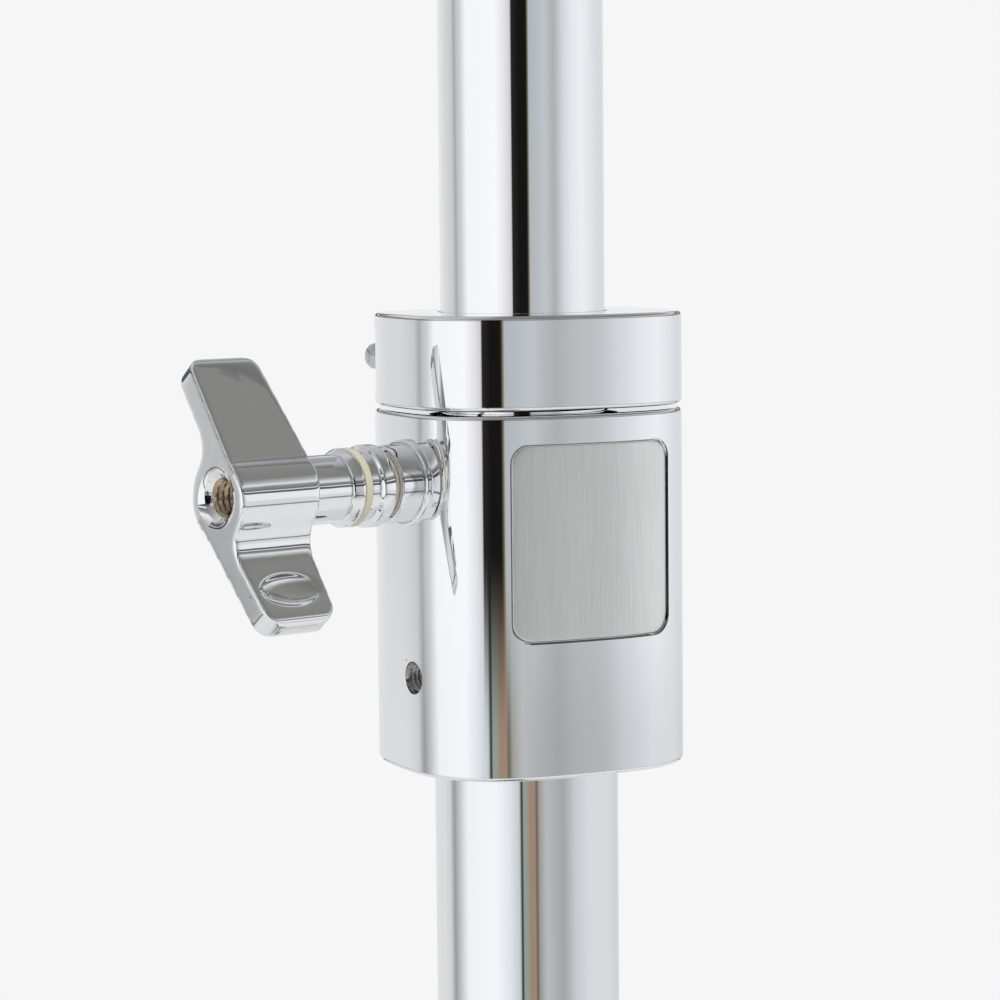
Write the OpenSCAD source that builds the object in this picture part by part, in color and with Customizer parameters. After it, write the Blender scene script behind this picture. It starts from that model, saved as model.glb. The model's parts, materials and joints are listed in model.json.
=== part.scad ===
// Hi-hat stand: floor pedal, tripod, telescoping column with an oval cast clamp, cymbal seat and clutch.
// Millimetres, +Z up. The origin is on the floor under the column axis and the player is on the -Y side.

/* [Column] */
// Outer diameter of the fixed lower tube
lower_tube_d = 28.6; // [27:0.1:30]
// Wall of the lower tube
lower_tube_wall = 1.4; // [1:0.1:1.8]
// Wall of the sliding upper tube
upper_tube_wall = 1.2; // [1:0.1:1.6]
// Play on each side between the two tubes
tube_play = 0.2; // [0.1:0.05:0.4]
// Length of the upper tube
upper_tube_len = 530; // [480:1:600]
// Depth that the upper tube reaches below the clamp at its lowest setting
tube_depth = 159.6; // [140:0.1:162]
// Diameter of the pull rod
rod_d = 6; // [5.5:0.1:6.5]
// Height of the pull rod above the upper tube at its lowest setting
rod_rise = 270; // [250:1:360]

/* [Height clamp] */
// Height of the lower edge of the clamp body above the floor
clamp_z = 469.6; // [460:0.1:490]
// Height of the clamp body
clamp_h = 54.6; // [48:0.1:70]
// Wall of the clamp body in front of and behind the tube
clamp_side_wall = 5.8; // [5.6:0.1:8]
// Wall of the clamp body at its two ends
clamp_end_wall = 8.15; // [7.9:0.05:9]
// Distance that the clamp body stands forward of the column axis
clamp_shift = 1.6; // [0:0.1:1.8]
// Roundness of the clamp outline, where 2 is an ellipse
clamp_roundness = 2.85; // [2.7:0.05:5]
// Depth to which the lower tube enters the clamp body
tube_seat_depth = 26; // [22:0.5:26.5]
// Depth of the clamp bolt below the top of the body
bolt_drop = 10.4; // [9:0.1:11]
// Turn of the clamp bolt from square towards the front
bolt_turn = 15; // [0:1:18]
// Height of the memory lock
lock_h = 14.1; // [13.5:0.1:20]
// Gap between the clamp body and the memory lock
lock_gap = 0.6; // [0.3:0.1:1.5]
// Height of the lock hole above the lower edge of the body
lock_hole_h = 14.7; // [8:0.1:18]
// Diameter of the lock hole
lock_hole_d = 5; // [4:0.5:6]
// Direction of the lock hole around the column
lock_hole_angle = 198; // [180:1:202]

/* [Badge] */
// Width of the badge
badge_w = 26.5; // [22:0.5:27]
// Height of the badge
badge_h = 29.4; // [24:0.1:31]
// Depth of the top edge of the badge below the top of the body
badge_drop = 4.4; // [3:0.1:8]
// Distance of the middle of the badge from the column axis
badge_shift = 1.55; // [-1:0.05:2]
// Corner radius of the badge
badge_corner = 2.8; // [1:0.1:5]
// Depth of the recess for the badge
badge_recess = 1; // [0.8:0.1:1.4]
// Gap round the badge
badge_gap = 0.3; // [0.2:0.05:0.6]

/* [Wing nut and washers] */
// Diameter of the clamp bolt
bolt_d = 5.6; // [5:0.1:6]
// Diameter of the wing nut hub
hub_d = 12.8; // [11:0.1:14]
// Length of the wing nut hub
hub_len = 14.4; // [10:0.1:15]
// Length of the wing nut neck
neck_len = 6.5; // [4:0.1:8]
// Reach of the wings from the bolt axis
wing_reach = 20.8; // [18:0.1:24]
// Thickness of the wings
wing_t = 4.2; // [3:0.1:4.8]
// Distance from the bolt axis to the near face of a wing
wing_offset = 1.9; // [1:0.1:2.2]
// Turn of the wings from upright
wing_angle = 39; // [0:1:90]
// Distance of the end of the cast boss from the column axis
boss_reach = 24.3; // [24.1:0.1:28]
// Length of the bolt bushing
bushing_len = 4.05; // [3:0.05:6]
// Thickness of the nylon washers
nylon_t = 1.3; // [1:0.1:2]
// Length of the flange washer
flange_len = 4.25; // [3:0.05:6]
// Length of the domed washer
dome_len = 2; // [1.5:0.1:4]

/* [Tripod] */
// Angle of the open legs from upright
leg_angle = 40; // [36:1:44]
// Length of a brace between its pivots
brace_len = 110; // [100:1:114]
// Height of the lower leg pivot above the floor
leg_ring_z = 200; // [200:1:210]
// Distance of the leg pivots from the column axis
leg_pivot_r = 30; // [30:1:34]
// Width of the leg strips
leg_w = 16; // [14:0.5:17]
// Thickness of the leg and brace strips
strip_t = 3; // [2.5:0.1:3.5]
// Width of the brace strips
brace_w = 14; // [12:0.5:15]
// Radius of the rubber feet
foot_r = 12; // [11:0.5:14]

/* [Pedal] */
// Distance from the column axis to the heel hinge
heel_y = 285; // [270:1:300]
// Height of the heel hinge above the floor
heel_z = 16; // [15:0.5:18]
// Width of the footboard
board_w = 96; // [92:1:104]
// Width of the footboard at the toe
toe_w = 44; // [36:1:46]
// Thickness of the footboard
board_t = 6; // [5:0.5:7]
// Number of grip bars on the footboard
grip_count = 10; // [6:1:11]
// Pitch of the drive chain
chain_pitch = 12.7; // [12.5:0.1:13]
// Number of chain links
chain_links = 4; // [3:1:4]
// Gap between the two cheeks of the drive yoke
yoke_gap = 52; // [50:1:56]
// Height of the top of the drive yoke
yoke_top_z = 175; // [175:1:176]

/* [Cymbal seat and clutch] */
// Radius of the cymbal seat
seat_r = 22.5; // [20:0.5:22.5]
// Radius of the seat felt
felt_r = 19; // [15:0.5:20]
// Thickness of the seat felt
felt_t = 8; // [6:0.5:9]
// Height of the lower end of the clutch above the upper tube
clutch_rise = 72; // [65:1:76]
// Outer diameter of the clutch tube
clutch_d = 10; // [9.5:0.1:11]

/* [Hidden] */
$fn = 72;

// Clearances
seat_gap = 0.05;     // fixed pieces, on each side
run_gap = 0.05;      // turning and sliding fits, on each side
face_gap = 0.3;      // faces that pass each other
eps = 0.01;          // cuts reach this far past a face

// Column sizes
lower_tube_r = lower_tube_d / 2;
lower_bore_r = lower_tube_r - lower_tube_wall;
upper_tube_r = lower_bore_r - tube_play;
upper_bore_r = upper_tube_r - upper_tube_wall;
rod_r = rod_d / 2;
upper_tube_z = clamp_z - tube_depth;
tube_top_z = upper_tube_z + upper_tube_len;
rod_top_z = tube_top_z + rod_rise;
tube_floor_t = 5;
crown_h = 25;
crown_z = yoke_top_z - crown_h;
lower_tube_z = crown_z + tube_floor_t;

// Clamp sizes
clamp_half_x = lower_tube_r + clamp_end_wall;
clamp_half_y = lower_tube_r + clamp_side_wall;
clamp_bore_r = lower_tube_r + seat_gap;
clamp_top_z = clamp_z + clamp_h;
clamp_back_y = clamp_half_y - clamp_shift;
clamp_front_y = -clamp_half_y - clamp_shift;
bolt_z = clamp_top_z - bolt_drop;
bolt_r = bolt_d / 2;
bolt_hole_r = bolt_r + run_gap;
eye_h = 9.4;
eye_play = 0.3;
eye_bore_r = upper_tube_r + eye_play;
eye_r = clamp_back_y - 2.4;
pocket_r = eye_r + eye_play;
bush_h = 8;
lock_z = clamp_top_z + lock_gap;
lock_screw_r = 2.1;
lock_screw_y = upper_tube_r + 2.7;
lock_screw_x = 19.8;
lock_notch_x = 11.5;
lock_notch_y = 7.2;
lock_slot = 2;

// Stack of washers on the clamp bolt, each starting where the last one ends
boss_x = -boss_reach;
bushing_x = boss_x - bushing_len;
nylon_x = bushing_x - nylon_t;
flange_x = nylon_x - flange_len;
dome_x = flange_x - nylon_t - dome_len;
neck_x = dome_x - neck_len;
hub_x = neck_x - hub_len;
bolt_end_x = neck_x - hub_len / 2;
boss_r = 6.5;
bushing_r = 5.85;
washer_r = 5;
flange_r = 6.2;
dome_r = 5.9;

// Tripod sizes
leg_azimuths = [90, 210, 330];
leg_collar_z = leg_ring_z + 2 * brace_len * cos(leg_angle);
leg_len = (leg_collar_z - foot_r) / cos(leg_angle);
leg_inner = 6;
leg_outer = leg_inner + strip_t;
brace_inner = leg_outer + 0.5;
brace_outer = brace_inner + strip_t;
rivet_r = 3;
rivet_head_r = 5;
rivet_head_t = 1.2;
sleeve_bore_r = lower_tube_r + 0.1;
sleeve_r = 20;
ring_h = 24;
collar_h = 28;
lug_r = 8;
leg_boss_y = 27;
tongue_r = 5.5;
tongue_len = 16;

// Pedal sizes
clevis_pin_z = crown_z - 8;
rod_bottom_z = clevis_pin_z + 5.3;
coupler_z = 690;
coupler_h = 30;
toe_z = clevis_pin_z - chain_links * chain_pitch;
board_angle = atan((toe_z - heel_z) / heel_y);
board_len = norm([heel_y, toe_z - heel_z]);
plate_t = 4;
base_half_x = 42;
base_front_y = -60;
base_back_y = 45;
base_lug_h = 13;
base_lug_len = 14;
rod_lug_half = 6;
heel_half_x = 46;
heel_len = 62;
heel_t = 12;
yoke_half_y = 22;
yoke_screw_y = 14;
yoke_post_y = 15;
yoke_bolt_rise = 15;
yoke_hub_r = 19;
yoke_bolt_head_r = 4.5;
yoke_bolt_head_len = 3.8;
cheek_t = 8;
knuckle_r = 8;
knuckle_half = 23.6;
hinge_pin_r = 4;
lug_half = 44;
radius_rod_r = 3.5;
radius_rod_x = 36;
radius_rod_z = 6.5;
radius_rod_in = 12;
chain_pin_r = 1.8;
clevis_pin_r = 2;
toe_pin_play = 1;
chain_half_w = 5;
lug_x = 24;
board_taper_y = 205;
board_neck_y = 258;
board_end_y = board_len - 14;
grip_y0 = 66;
grip_pitch = 14;
grip_len = 66;
grip_w = 6;
grip_t = 2.4;
yoke_screw_x = yoke_gap / 2 + cheek_t + 6;
yoke_screw_r = 2.5;
yoke_foot_x = yoke_screw_x + 5.5;
yoke_foot_t = 5;

// Return spring sizes
spring_seat_z = leg_ring_z - 4;
seat_pin_r = 1.5;
spring_z0 = spring_seat_z + 2;
spring_r = 8.5;
spring_wire_r = 1.2;
spring_turns = 12;
spring_steps = 8;
spring_sides = 6;
spring_len = 94;
spring_rise = spring_len - 2 * spring_wire_r;
spring_collar_z = spring_z0 + spring_len;
plate_inner_x = 2.4;
link_plate_t = 1.2;

// Seat and clutch sizes
seat_base_z = tube_top_z - 14;
seat_base_top = tube_top_z + 8;
seat_pivot_y = seat_r + 4.5;
seat_z = seat_base_top + 5;
seat_pivot_z = seat_z - 1;
sleeve_hole_r = rod_r + 1.6;
seat_sleeve_r = sleeve_hole_r + 1.4;
seat_t = 4;
tilt_screw_y = -20;
tilt_screw_r = 2.5;
clutch_z = tube_top_z + clutch_rise;
clutch_bore_r = rod_r + run_gap;
clutch_r = clutch_d / 2;
clutch_nut_z = clutch_z + 29.2;
clutch_head_z = clutch_z + 40.5;
clutch_head_h = 19.5;
clutch_head_r = 11;
clutch_screw_z = clutch_head_z + 11;
clutch_felt_r = 15;

// Points of a superellipse, drawn in by inset
function superellipse(half_x, half_y, power, inset = 0, count = 96) = [
    for (i = [0:count - 1])
        let (c = cos(360 * i / count), s = sin(360 * i / count))
            [(half_x - inset) * sign(c) * pow(abs(c), 2 / power),
             (half_y - inset) * sign(s) * pow(abs(s), 2 / power)]
];

// Points on an arc from angle a0 to angle a1
function arc(centre, r, a0, a1, steps = 8) = [
    for (i = [0:steps]) centre + r * [cos(a0 + (a1 - a0) * i / steps), sin(a0 + (a1 - a0) * i / steps)]
];

// A list without its last item
function but_last(list) = [for (i = [0:len(list) - 2]) list[i]];

// Ring or tube round the Z axis
module tube(r_out, r_in, z0, z1) {
    difference() {
        translate([0, 0, z0]) cylinder(r = r_out, h = z1 - z0);
        translate([0, 0, z0 - eps]) cylinder(r = r_in, h = z1 - z0 + 2 * eps);
    }
}

// Cylinder along X from x0 to x1
module rod_x(r, x0, x1) {
    translate([x0, 0, 0]) rotate([0, 90, 0]) cylinder(r = r, h = x1 - x0);
}

// Cylinder along Y from y0 to y1
module rod_y(r, y0, y1) {
    translate([0, y0, 0]) rotate([-90, 0, 0]) cylinder(r = r, h = y1 - y0);
}

// Box between two corners
module box(low, high) {
    translate(low) cube(high - low);
}

// Rectangle with round corners, centred on the origin
module round_rect(w, h, r) {
    square([w - 2 * r, h], center = true);
    square([w, h - 2 * r], center = true);
    for (x = [-1, 1], y = [-1, 1]) translate([x * (w / 2 - r), y * (h / 2 - r)]) circle(r = r);
}

// Oval outline that the clamp body and the memory lock share
module clamp_outline(inset = 0) {
    translate([0, -clamp_shift])
        polygon(superellipse(clamp_half_x, clamp_half_y, clamp_roundness, inset));
}

// Block in front of the clamp body with the outline of the badge, grown by margin
module badge_block(margin = 0) {
    translate([badge_shift, 0, clamp_top_z - badge_drop - badge_h / 2])
        rotate([90, 0, 0])
            linear_extrude(1 - clamp_front_y)
                round_rect(badge_w + 2 * margin, badge_h + 2 * margin, badge_corner + margin);
}

// Cross-section of a wing nut seen along its bolt: a hub with two offset wings and hollow fillets
module wing_section(hub_r, reach, near, thick, fillet) {
    far = near + thick;
    fillet_y = near - fillet;
    fillet_x = sqrt(pow(hub_r + fillet, 2) - pow(fillet_y, 2));
    meet = atan2(fillet_y, fillet_x);
    outer = acos(min(1, far / hub_r));
    half = concat(
        arc([fillet_x, fillet_y], fillet, 180 + meet, 90),
        [[reach, near], [reach, far]],
        but_last(arc([0, 0], hub_r, 90 - outer, 180 + meet))
    );
    polygon(concat(half, [for (p = half) -p]));
}

// Side view of the wings: full width at the hub, narrower at the tip, with round tip corners
module wing_profile(reach, root_w, tip_w, corner) {
    side = [
        for (s = [1, -1])
            let (p = arc([reach - corner, s * (tip_w / 2 - corner)], corner, s > 0 ? 90 : 0, s > 0 ? 0 : -90))
                p
    ];
    right = concat([[0, root_w / 2]], side[0], side[1], [[0, -root_w / 2]]);
    polygon(right);
    mirror([1, 0]) polygon(right);
}

// Wings and hub along X from x0 to x0 + width
module wings(x0, width, hub_r, reach, near, thick, turn, fillet = 4.5) {
    translate([x0 + width / 2, 0, 0])
        rotate([turn, 0, 0])
            intersection() {
                rotate([90, 0, 90])
                    translate([0, 0, -width / 2])
                        rotate(90) linear_extrude(width) wing_section(hub_r, reach, near, thick, fillet);
                rotate([-90, -90, 0])
                    translate([0, 0, -reach])
                        linear_extrude(2 * reach) wing_profile(reach, width, 0.85 * width, 3);
            }
}

// Strip lying along X with a round end at each pivot
module strip(length, width, y0, y1) {
    box([0, y0, -width / 2], [length, y1, width / 2]);
    for (x = [0, length]) translate([x, 0, 0]) rod_y(width / 2, y0, y1);
}

// Frame of a leg: its origin is the upper pivot and its X axis runs down the leg
module on_leg(azimuth) {
    rotate([0, 0, azimuth]) translate([leg_pivot_r, 0, leg_collar_z]) rotate([0, 90 - leg_angle, 0]) children();
}

// Frame of a brace: its origin is the lower pivot and its X axis runs up the brace
module on_brace(azimuth) {
    rotate([0, 0, azimuth]) translate([leg_pivot_r, 0, leg_ring_z]) rotate([0, leg_angle - 90, 0]) children();
}

// Frame of the footboard: its origin is the heel hinge and its Y axis runs up the board
module on_board() {
    translate([0, -heel_y, heel_z]) rotate([board_angle, 0, 0]) children();
}

// Base and drive

module base_plate() {
    color("#c9ccd0") difference() {
        union() {
            box([-base_half_x, base_front_y, 0], [base_half_x, base_back_y, plate_t]);
            for (s = [-1, 1])
                box([s * radius_rod_x - rod_lug_half, base_front_y, 0],
                    [s * radius_rod_x + rod_lug_half, base_front_y + base_lug_len, base_lug_h]);
        }
        for (s = [-1, 1]) {
            translate([s * radius_rod_x, base_front_y, radius_rod_z])
                rod_y(radius_rod_r + seat_gap, -1, radius_rod_in);
            for (y = [-yoke_screw_y, yoke_screw_y]) translate([s * yoke_screw_x, y, 1])
                cylinder(r = yoke_screw_r + seat_gap, h = plate_t);
        }
    }
}

module drive_yoke() {
    cheek_x = yoke_gap / 2;
    color("#d3d6da") difference() {
        union() {
            for (s = [0, 1]) mirror([s, 0, 0]) {
                translate([cheek_x, 0, 0]) rotate([90, 0, 90]) linear_extrude(cheek_t)
                    polygon([[-yoke_half_y, plate_t], [yoke_half_y, plate_t], [yoke_half_y, 3 * plate_t],
                             [yoke_post_y, 10 * plate_t], [yoke_post_y, crown_z + 2], [-yoke_post_y, crown_z + 2],
                             [-yoke_post_y, 10 * plate_t], [-yoke_half_y, 3 * plate_t]]);
                box([cheek_x + cheek_t - eps, -yoke_half_y, plate_t],
                    [yoke_foot_x, yoke_half_y, plate_t + yoke_foot_t]);
            }
            translate([0, 0, crown_z]) linear_extrude(crown_h) {
                square([yoke_gap + 2 * cheek_t, 2 * yoke_post_y], center = true);
                circle(r = yoke_hub_r);
            }
        }
        translate([0, 0, lower_tube_z]) cylinder(r = lower_tube_r + seat_gap, h = crown_h);
        translate([0, 0, crown_z - 1]) cylinder(r = rod_r + 2, h = crown_h);
        translate([0, 0, crown_z + yoke_bolt_rise]) rod_y(rivet_r + seat_gap, lower_tube_r - 2, yoke_hub_r + 5);
        for (s = [-1, 1], y = [-yoke_screw_y, yoke_screw_y])
            translate([s * yoke_screw_x, y, 1]) cylinder(r = yoke_screw_r + seat_gap, h = 20);
    }
}

module yoke_screws() {
    foot_top = plate_t + yoke_foot_t;
    color("#b8bcc2") {
        for (s = [-1, 1], y = [-yoke_screw_y, yoke_screw_y]) translate([s * yoke_screw_x, y, 0]) {
            translate([0, 0, 1.2]) cylinder(r = yoke_screw_r, h = foot_top);
            difference() {
                translate([0, 0, foot_top]) cylinder(r = 4.2, h = 4);
                translate([0, 0, foot_top + 2]) cylinder(r = 2, h = 3, $fn = 6);
            }
        }
        translate([0, 0, crown_z + yoke_bolt_rise]) {
            rod_y(rivet_r, lower_tube_r + seat_gap, yoke_hub_r + seat_gap);
            rod_y(yoke_bolt_head_r, yoke_hub_r + seat_gap, yoke_hub_r + seat_gap + yoke_bolt_head_len);
        }
    }
}

module lower_tube() {
    color("#dfe2e6") difference() {
        tube(lower_tube_r, lower_bore_r, lower_tube_z, clamp_z + tube_seat_depth);
        translate([0, 0, spring_seat_z]) for (s = [0, 1]) mirror([0, s, 0])
            rod_y(seat_pin_r + seat_gap, 10, 16);
    }
}

module spring_seat() {
    color("#8d9298") {
        tube(lower_bore_r - seat_gap, rod_r + 0.5, spring_seat_z - 2, spring_seat_z + 2);
        translate([0, 0, spring_seat_z]) for (s = [0, 1]) mirror([0, s, 0])
            rod_y(seat_pin_r, lower_bore_r - 1, lower_tube_r);
    }
}

// Helix of round wire between the spring seat and the collar on the rod
spring_path = [
    for (i = [0:spring_turns * spring_steps])
        let (a = 360 * i / spring_steps)
            [spring_r * cos(a), spring_r * sin(a),
             spring_z0 + spring_wire_r + i * spring_rise / (spring_turns * spring_steps)]
];
spring_rings = [
    for (p = spring_path)
        let (out = [p[0], p[1], 0] / norm([p[0], p[1]]))
            [for (k = [0:spring_sides - 1])
                let (a = 360 * k / spring_sides)
                    p + spring_wire_r * (cos(a) * out + [0, 0, sin(a)])]
];
spring_self_gap = min([
    for (i = [0:len(spring_path) - 1 - spring_steps])
        norm(spring_path[i + spring_steps] - spring_path[i])
]) - 2 * spring_wire_r;
echo(least_gap_between_spring_turns = spring_self_gap);

module return_spring() {
    n = spring_sides;
    last = len(spring_rings) - 1;
    walls = [
        for (i = [0:last - 1], k = [0:n - 1])
            let (a = i * n + k, b = i * n + (k + 1) % n)
                each [[a, b, b + n], [a, b + n, a + n]]
    ];
    start_cap = [for (k = [1:n - 2]) [0, k + 1, k]];
    end_cap = [for (k = [1:n - 2]) [last * n, last * n + k, last * n + k + 1]];
    color("#9aa0a6")
        polyhedron(points = [for (ring = spring_rings) each ring], faces = concat(walls, start_cap, end_cap));
}

module heel_plate() {
    color("#c4c8cc") difference() {
        union() {
            box([-heel_half_x, -heel_y - heel_len, 0], [heel_half_x, -heel_y - knuckle_r - 1, heel_t]);
            box([-lug_half, -heel_y - knuckle_r - 2, 0],
                [lug_half, -heel_y + knuckle_r, heel_z - knuckle_r - 2]);
            for (s = [0, 1]) mirror([s, 0, 0]) translate([0, -heel_y, 0]) {
                translate([0, 0, heel_z]) rod_x(knuckle_r, lug_x, lug_half);
                box([lug_x, -knuckle_r, 0], [lug_half, knuckle_r, heel_z]);
            }
        }
        translate([0, -heel_y, heel_z]) rod_x(hinge_pin_r + seat_gap, -lug_half - 1, lug_half + 1);
        for (s = [-1, 1]) translate([s * radius_rod_x, -heel_y, radius_rod_z])
            rod_y(radius_rod_r + seat_gap, -5, knuckle_r + 1);
    }
}

module heel_hinge_pin() {
    color("#9aa0a6") translate([0, -heel_y, heel_z]) {
        rod_x(hinge_pin_r, -lug_half, lug_half);
        rod_x(6, lug_half, lug_half + 2);
    }
}

module radius_rods() {
    color("#d3d6da") for (s = [-1, 1])
        translate([s * radius_rod_x, 0, radius_rod_z])
            rod_y(radius_rod_r, -heel_y - 4.9, base_front_y + radius_rod_in - 0.1);
}

module tension_dial() {
    color("#2b2d30") difference() {
        tube(22, sleeve_bore_r, yoke_top_z + face_gap, leg_ring_z - ring_h / 2 - face_gap);
        for (a = [0:20:340]) rotate([0, 0, a]) translate([23.5, 0, yoke_top_z]) cylinder(r = 2.4, h = 20);
    }
}

// Height clamp

// Frame of the clamp bolt: its origin is on the column axis and the bolt runs out along -X
module on_bolt() {
    translate([0, 0, bolt_z]) rotate([0, 0, bolt_turn]) children();
}

module clamp_body() {
    color("#e4e6e9") difference() {
        union() {
            translate([0, 0, clamp_z]) linear_extrude(clamp_h) clamp_outline();
            on_bolt() rod_x(boss_r, boss_x, -pocket_r - 2);
        }
        translate([0, 0, clamp_z - 1]) cylinder(r = clamp_bore_r, h = clamp_h + 2);
        translate([0, 0, bolt_z - eye_h / 2 - face_gap]) cylinder(r = pocket_r, h = eye_h + 2 * face_gap);
        on_bolt() rod_x(bolt_hole_r, boss_x - 1, 0);
        rotate([0, 0, lock_hole_angle]) translate([0, 0, clamp_z + lock_hole_h])
            union() {
                rod_x(lock_hole_d / 2, lower_tube_r - 2, clamp_half_x + 5);
                rod_x(lock_hole_d / 2 + 0.6, lower_tube_r - 2, lower_tube_r + 0.7);
            }
        difference() {
            badge_block(badge_gap);
            translate([0, 0, clamp_z]) linear_extrude(clamp_h) clamp_outline(badge_recess);
        }
    }
}

module clamp_badge() {
    color("#b9bab8") intersection() {
        badge_block();
        translate([0, 0, clamp_z]) linear_extrude(clamp_h) difference() {
            clamp_outline(badge_gap);
            clamp_outline(badge_recess - seat_gap);
        }
    }
}

module clamp_eye_bolt() {
    color("#a9adb2") difference() {
        union() {
            translate([0, 0, bolt_z - eye_h / 2]) cylinder(r = eye_r, h = eye_h);
            on_bolt() rod_x(bolt_r, bolt_end_x, -eye_r + 1.5);
        }
        translate([0, 0, bolt_z - eye_h]) cylinder(r = eye_bore_r, h = 2 * eye_h);
    }
}

module guide_bush_lower() {
    z = clamp_z + tube_seat_depth + seat_gap;
    color("#2e2f31") tube(lower_tube_r, upper_tube_r + run_gap, z, bolt_z - eye_h / 2 - face_gap - seat_gap);
}

module guide_bush_upper() {
    z = bolt_z + eye_h / 2 + face_gap + seat_gap;
    color("#2e2f31") tube(lower_tube_r, upper_tube_r + run_gap, z, clamp_top_z - 0.4);
}

// Ring on the clamp bolt from x0 to x1
module bolt_ring(r, x0, x1) {
    on_bolt() difference() {
        rod_x(r, x0, x1);
        rod_x(bolt_hole_r, x0 - 1, x1 + 1);
    }
}

module bolt_bushing() {
    color("#dfe1e4") bolt_ring(bushing_r, bushing_x, boss_x);
}

module nylon_washers() {
    color("#e9e3cf") {
        bolt_ring(washer_r, nylon_x, bushing_x);
        bolt_ring(dome_r, dome_x + dome_len, flange_x);
    }
}

module flange_washer() {
    waist = flange_len * 0.45;
    color("#dfe1e4") {
        bolt_ring(flange_r, flange_x + waist, nylon_x);
        bolt_ring(bushing_r - 0.5, flange_x, flange_x + waist);
    }
}

module domed_washer() {
    color("#dfe1e4") bolt_ring(dome_r, dome_x, dome_x + dome_len);
}

module wing_nut() {
    neck_r = 0.4 * hub_d;
    color("#d6d9dd") on_bolt() difference() {
        union() {
            wings(hub_x, hub_len, hub_d / 2, wing_reach, wing_offset, wing_t, -wing_angle);
            rod_x(neck_r, neck_x - 1, dome_x);
        }
        rod_x(bolt_hole_r, hub_x - 1, dome_x + 1);
    }
}

// Sliding column

module upper_tube() {
    color("#e2e5e8") tube(upper_tube_r, upper_bore_r, upper_tube_z, tube_top_z);
}

module memory_lock() {
    screw_y = lock_screw_y;
    color("#e4e6e9") difference() {
        translate([0, 0, lock_z]) linear_extrude(lock_h) clamp_outline();
        translate([0, 0, lock_z - 1]) cylinder(r = upper_tube_r + seat_gap, h = lock_h + 2);
        box([-lock_slot / 2, upper_tube_r - 2, lock_z - 1],
            [lock_slot / 2, clamp_back_y + 1, lock_z + lock_h + 1]);
        translate([0, screw_y, lock_z + lock_h / 2])
            rod_x(lock_screw_r + seat_gap, -lock_screw_x, lock_screw_x);
        for (s = [0, 1]) mirror([s, 0, 0])
            box([-clamp_half_x - 3, lock_notch_y, lock_z + lock_h / 2 - 5],
                [-lock_notch_x, clamp_back_y + 1, lock_z + lock_h / 2 + 5]);
    }
}

module memory_lock_screw() {
    color("#a6abb0") translate([0, lock_screw_y, lock_z + lock_h / 2]) {
        rod_x(lock_screw_r, -lock_screw_x, lock_notch_x + 1);
        translate([lock_notch_x + seat_gap, -lock_screw_r, -lock_screw_r])
            cube([4.5, 2 * lock_screw_r, 2 * lock_screw_r]);
    }
}

module rod_guide() {
    color("#2e2f31") tube(upper_bore_r - seat_gap, rod_r + run_gap, tube_top_z - 18, tube_top_z);
}

// Cymbal seat

module seat_base() {
    ear_top = seat_pivot_z + 4;
    color("#d3d6da") difference() {
        union() {
            translate([0, 0, seat_base_z]) cylinder(r = 18, h = seat_base_top - seat_base_z);
            translate([0, tilt_screw_y, tube_top_z - 6]) cylinder(r = 6, h = seat_base_top - tube_top_z + 6);
            for (s = [0, 1]) mirror([s, 0, 0]) {
                box([5, 10, seat_base_top - 6], [9, seat_pivot_y + 4, seat_base_top]);
                box([5, seat_pivot_y - 3.6, seat_base_top - 6], [9, seat_pivot_y + 4, ear_top]);
            }
        }
        translate([0, 0, seat_base_z - 1])
            cylinder(r = upper_tube_r + seat_gap, h = tube_top_z - seat_base_z + 1);
        translate([0, 0, seat_base_z]) cylinder(r = rod_r + 1.5, h = 40);
        translate([0, tilt_screw_y, seat_base_z - 1]) cylinder(r = tilt_screw_r + run_gap, h = 30);
        translate([0, seat_pivot_y, seat_pivot_z]) rod_x(clevis_pin_r + seat_gap, -12, 12);
    }
}

module seat_hinge_pin() {
    color("#9aa0a6") translate([0, seat_pivot_y, seat_pivot_z]) {
        rod_x(clevis_pin_r, -10.5, 9.2);
        rod_x(3.2, 9.2, 10.5);
    }
}

module seat_cup() {
    color("#dcdfe3") difference() {
        union() {
            translate([0, 0, seat_z]) cylinder(r = seat_r, h = seat_t);
            translate([0, seat_pivot_y, seat_pivot_z]) rod_x(3.4, -4.8, 4.8);
            box([-4.8, seat_r - 3, seat_z], [4.8, seat_pivot_y, seat_pivot_z + 3.4]);
        }
        translate([0, 0, seat_z - 1]) cylinder(r = sleeve_hole_r, h = 10);
        translate([0, seat_pivot_y, seat_pivot_z]) rod_x(clevis_pin_r + run_gap, -6, 6);
    }
}

module seat_sleeve() {
    z = seat_z + seat_t;
    color("#26272a") {
        tube(seat_sleeve_r, sleeve_hole_r, z, z + felt_t + 4);
        tube(12, seat_sleeve_r - 1, z, z + 1.5);
    }
}

module seat_felt() {
    z = seat_z + seat_t + 1.5;
    color("#7b7d80") tube(felt_r, seat_sleeve_r + 0.2, z, z + felt_t);
}

module tilt_screw() {
    low = seat_base_z - 14;
    color("#b8bcc2") translate([0, tilt_screw_y, 0]) {
        translate([0, 0, low]) cylinder(r = tilt_screw_r, h = seat_z - face_gap - low);
        difference() {
            translate([0, 0, low - 8]) cylinder(r = 6.5, h = 8);
            for (a = [0:45:315]) rotate([0, 0, a]) translate([7.3, 0, low - 9]) cylinder(r = 1.6, h = 10);
        }
    }
}

// Pull rod

module lower_pull_rod() {
    color("#c9ccd0") translate([0, 0, rod_bottom_z])
        cylinder(r = rod_r, h = coupler_z + coupler_h / 2 - rod_bottom_z);
}

module rod_coupler() {
    color("#aeb3b8") tube(6, rod_r + seat_gap, coupler_z, coupler_z + coupler_h);
}

module upper_pull_rod() {
    z = coupler_z + coupler_h / 2 + 0.1;
    color("#d8dbdf") translate([0, 0, z]) cylinder(r = rod_r, h = rod_top_z - z);
}

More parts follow.
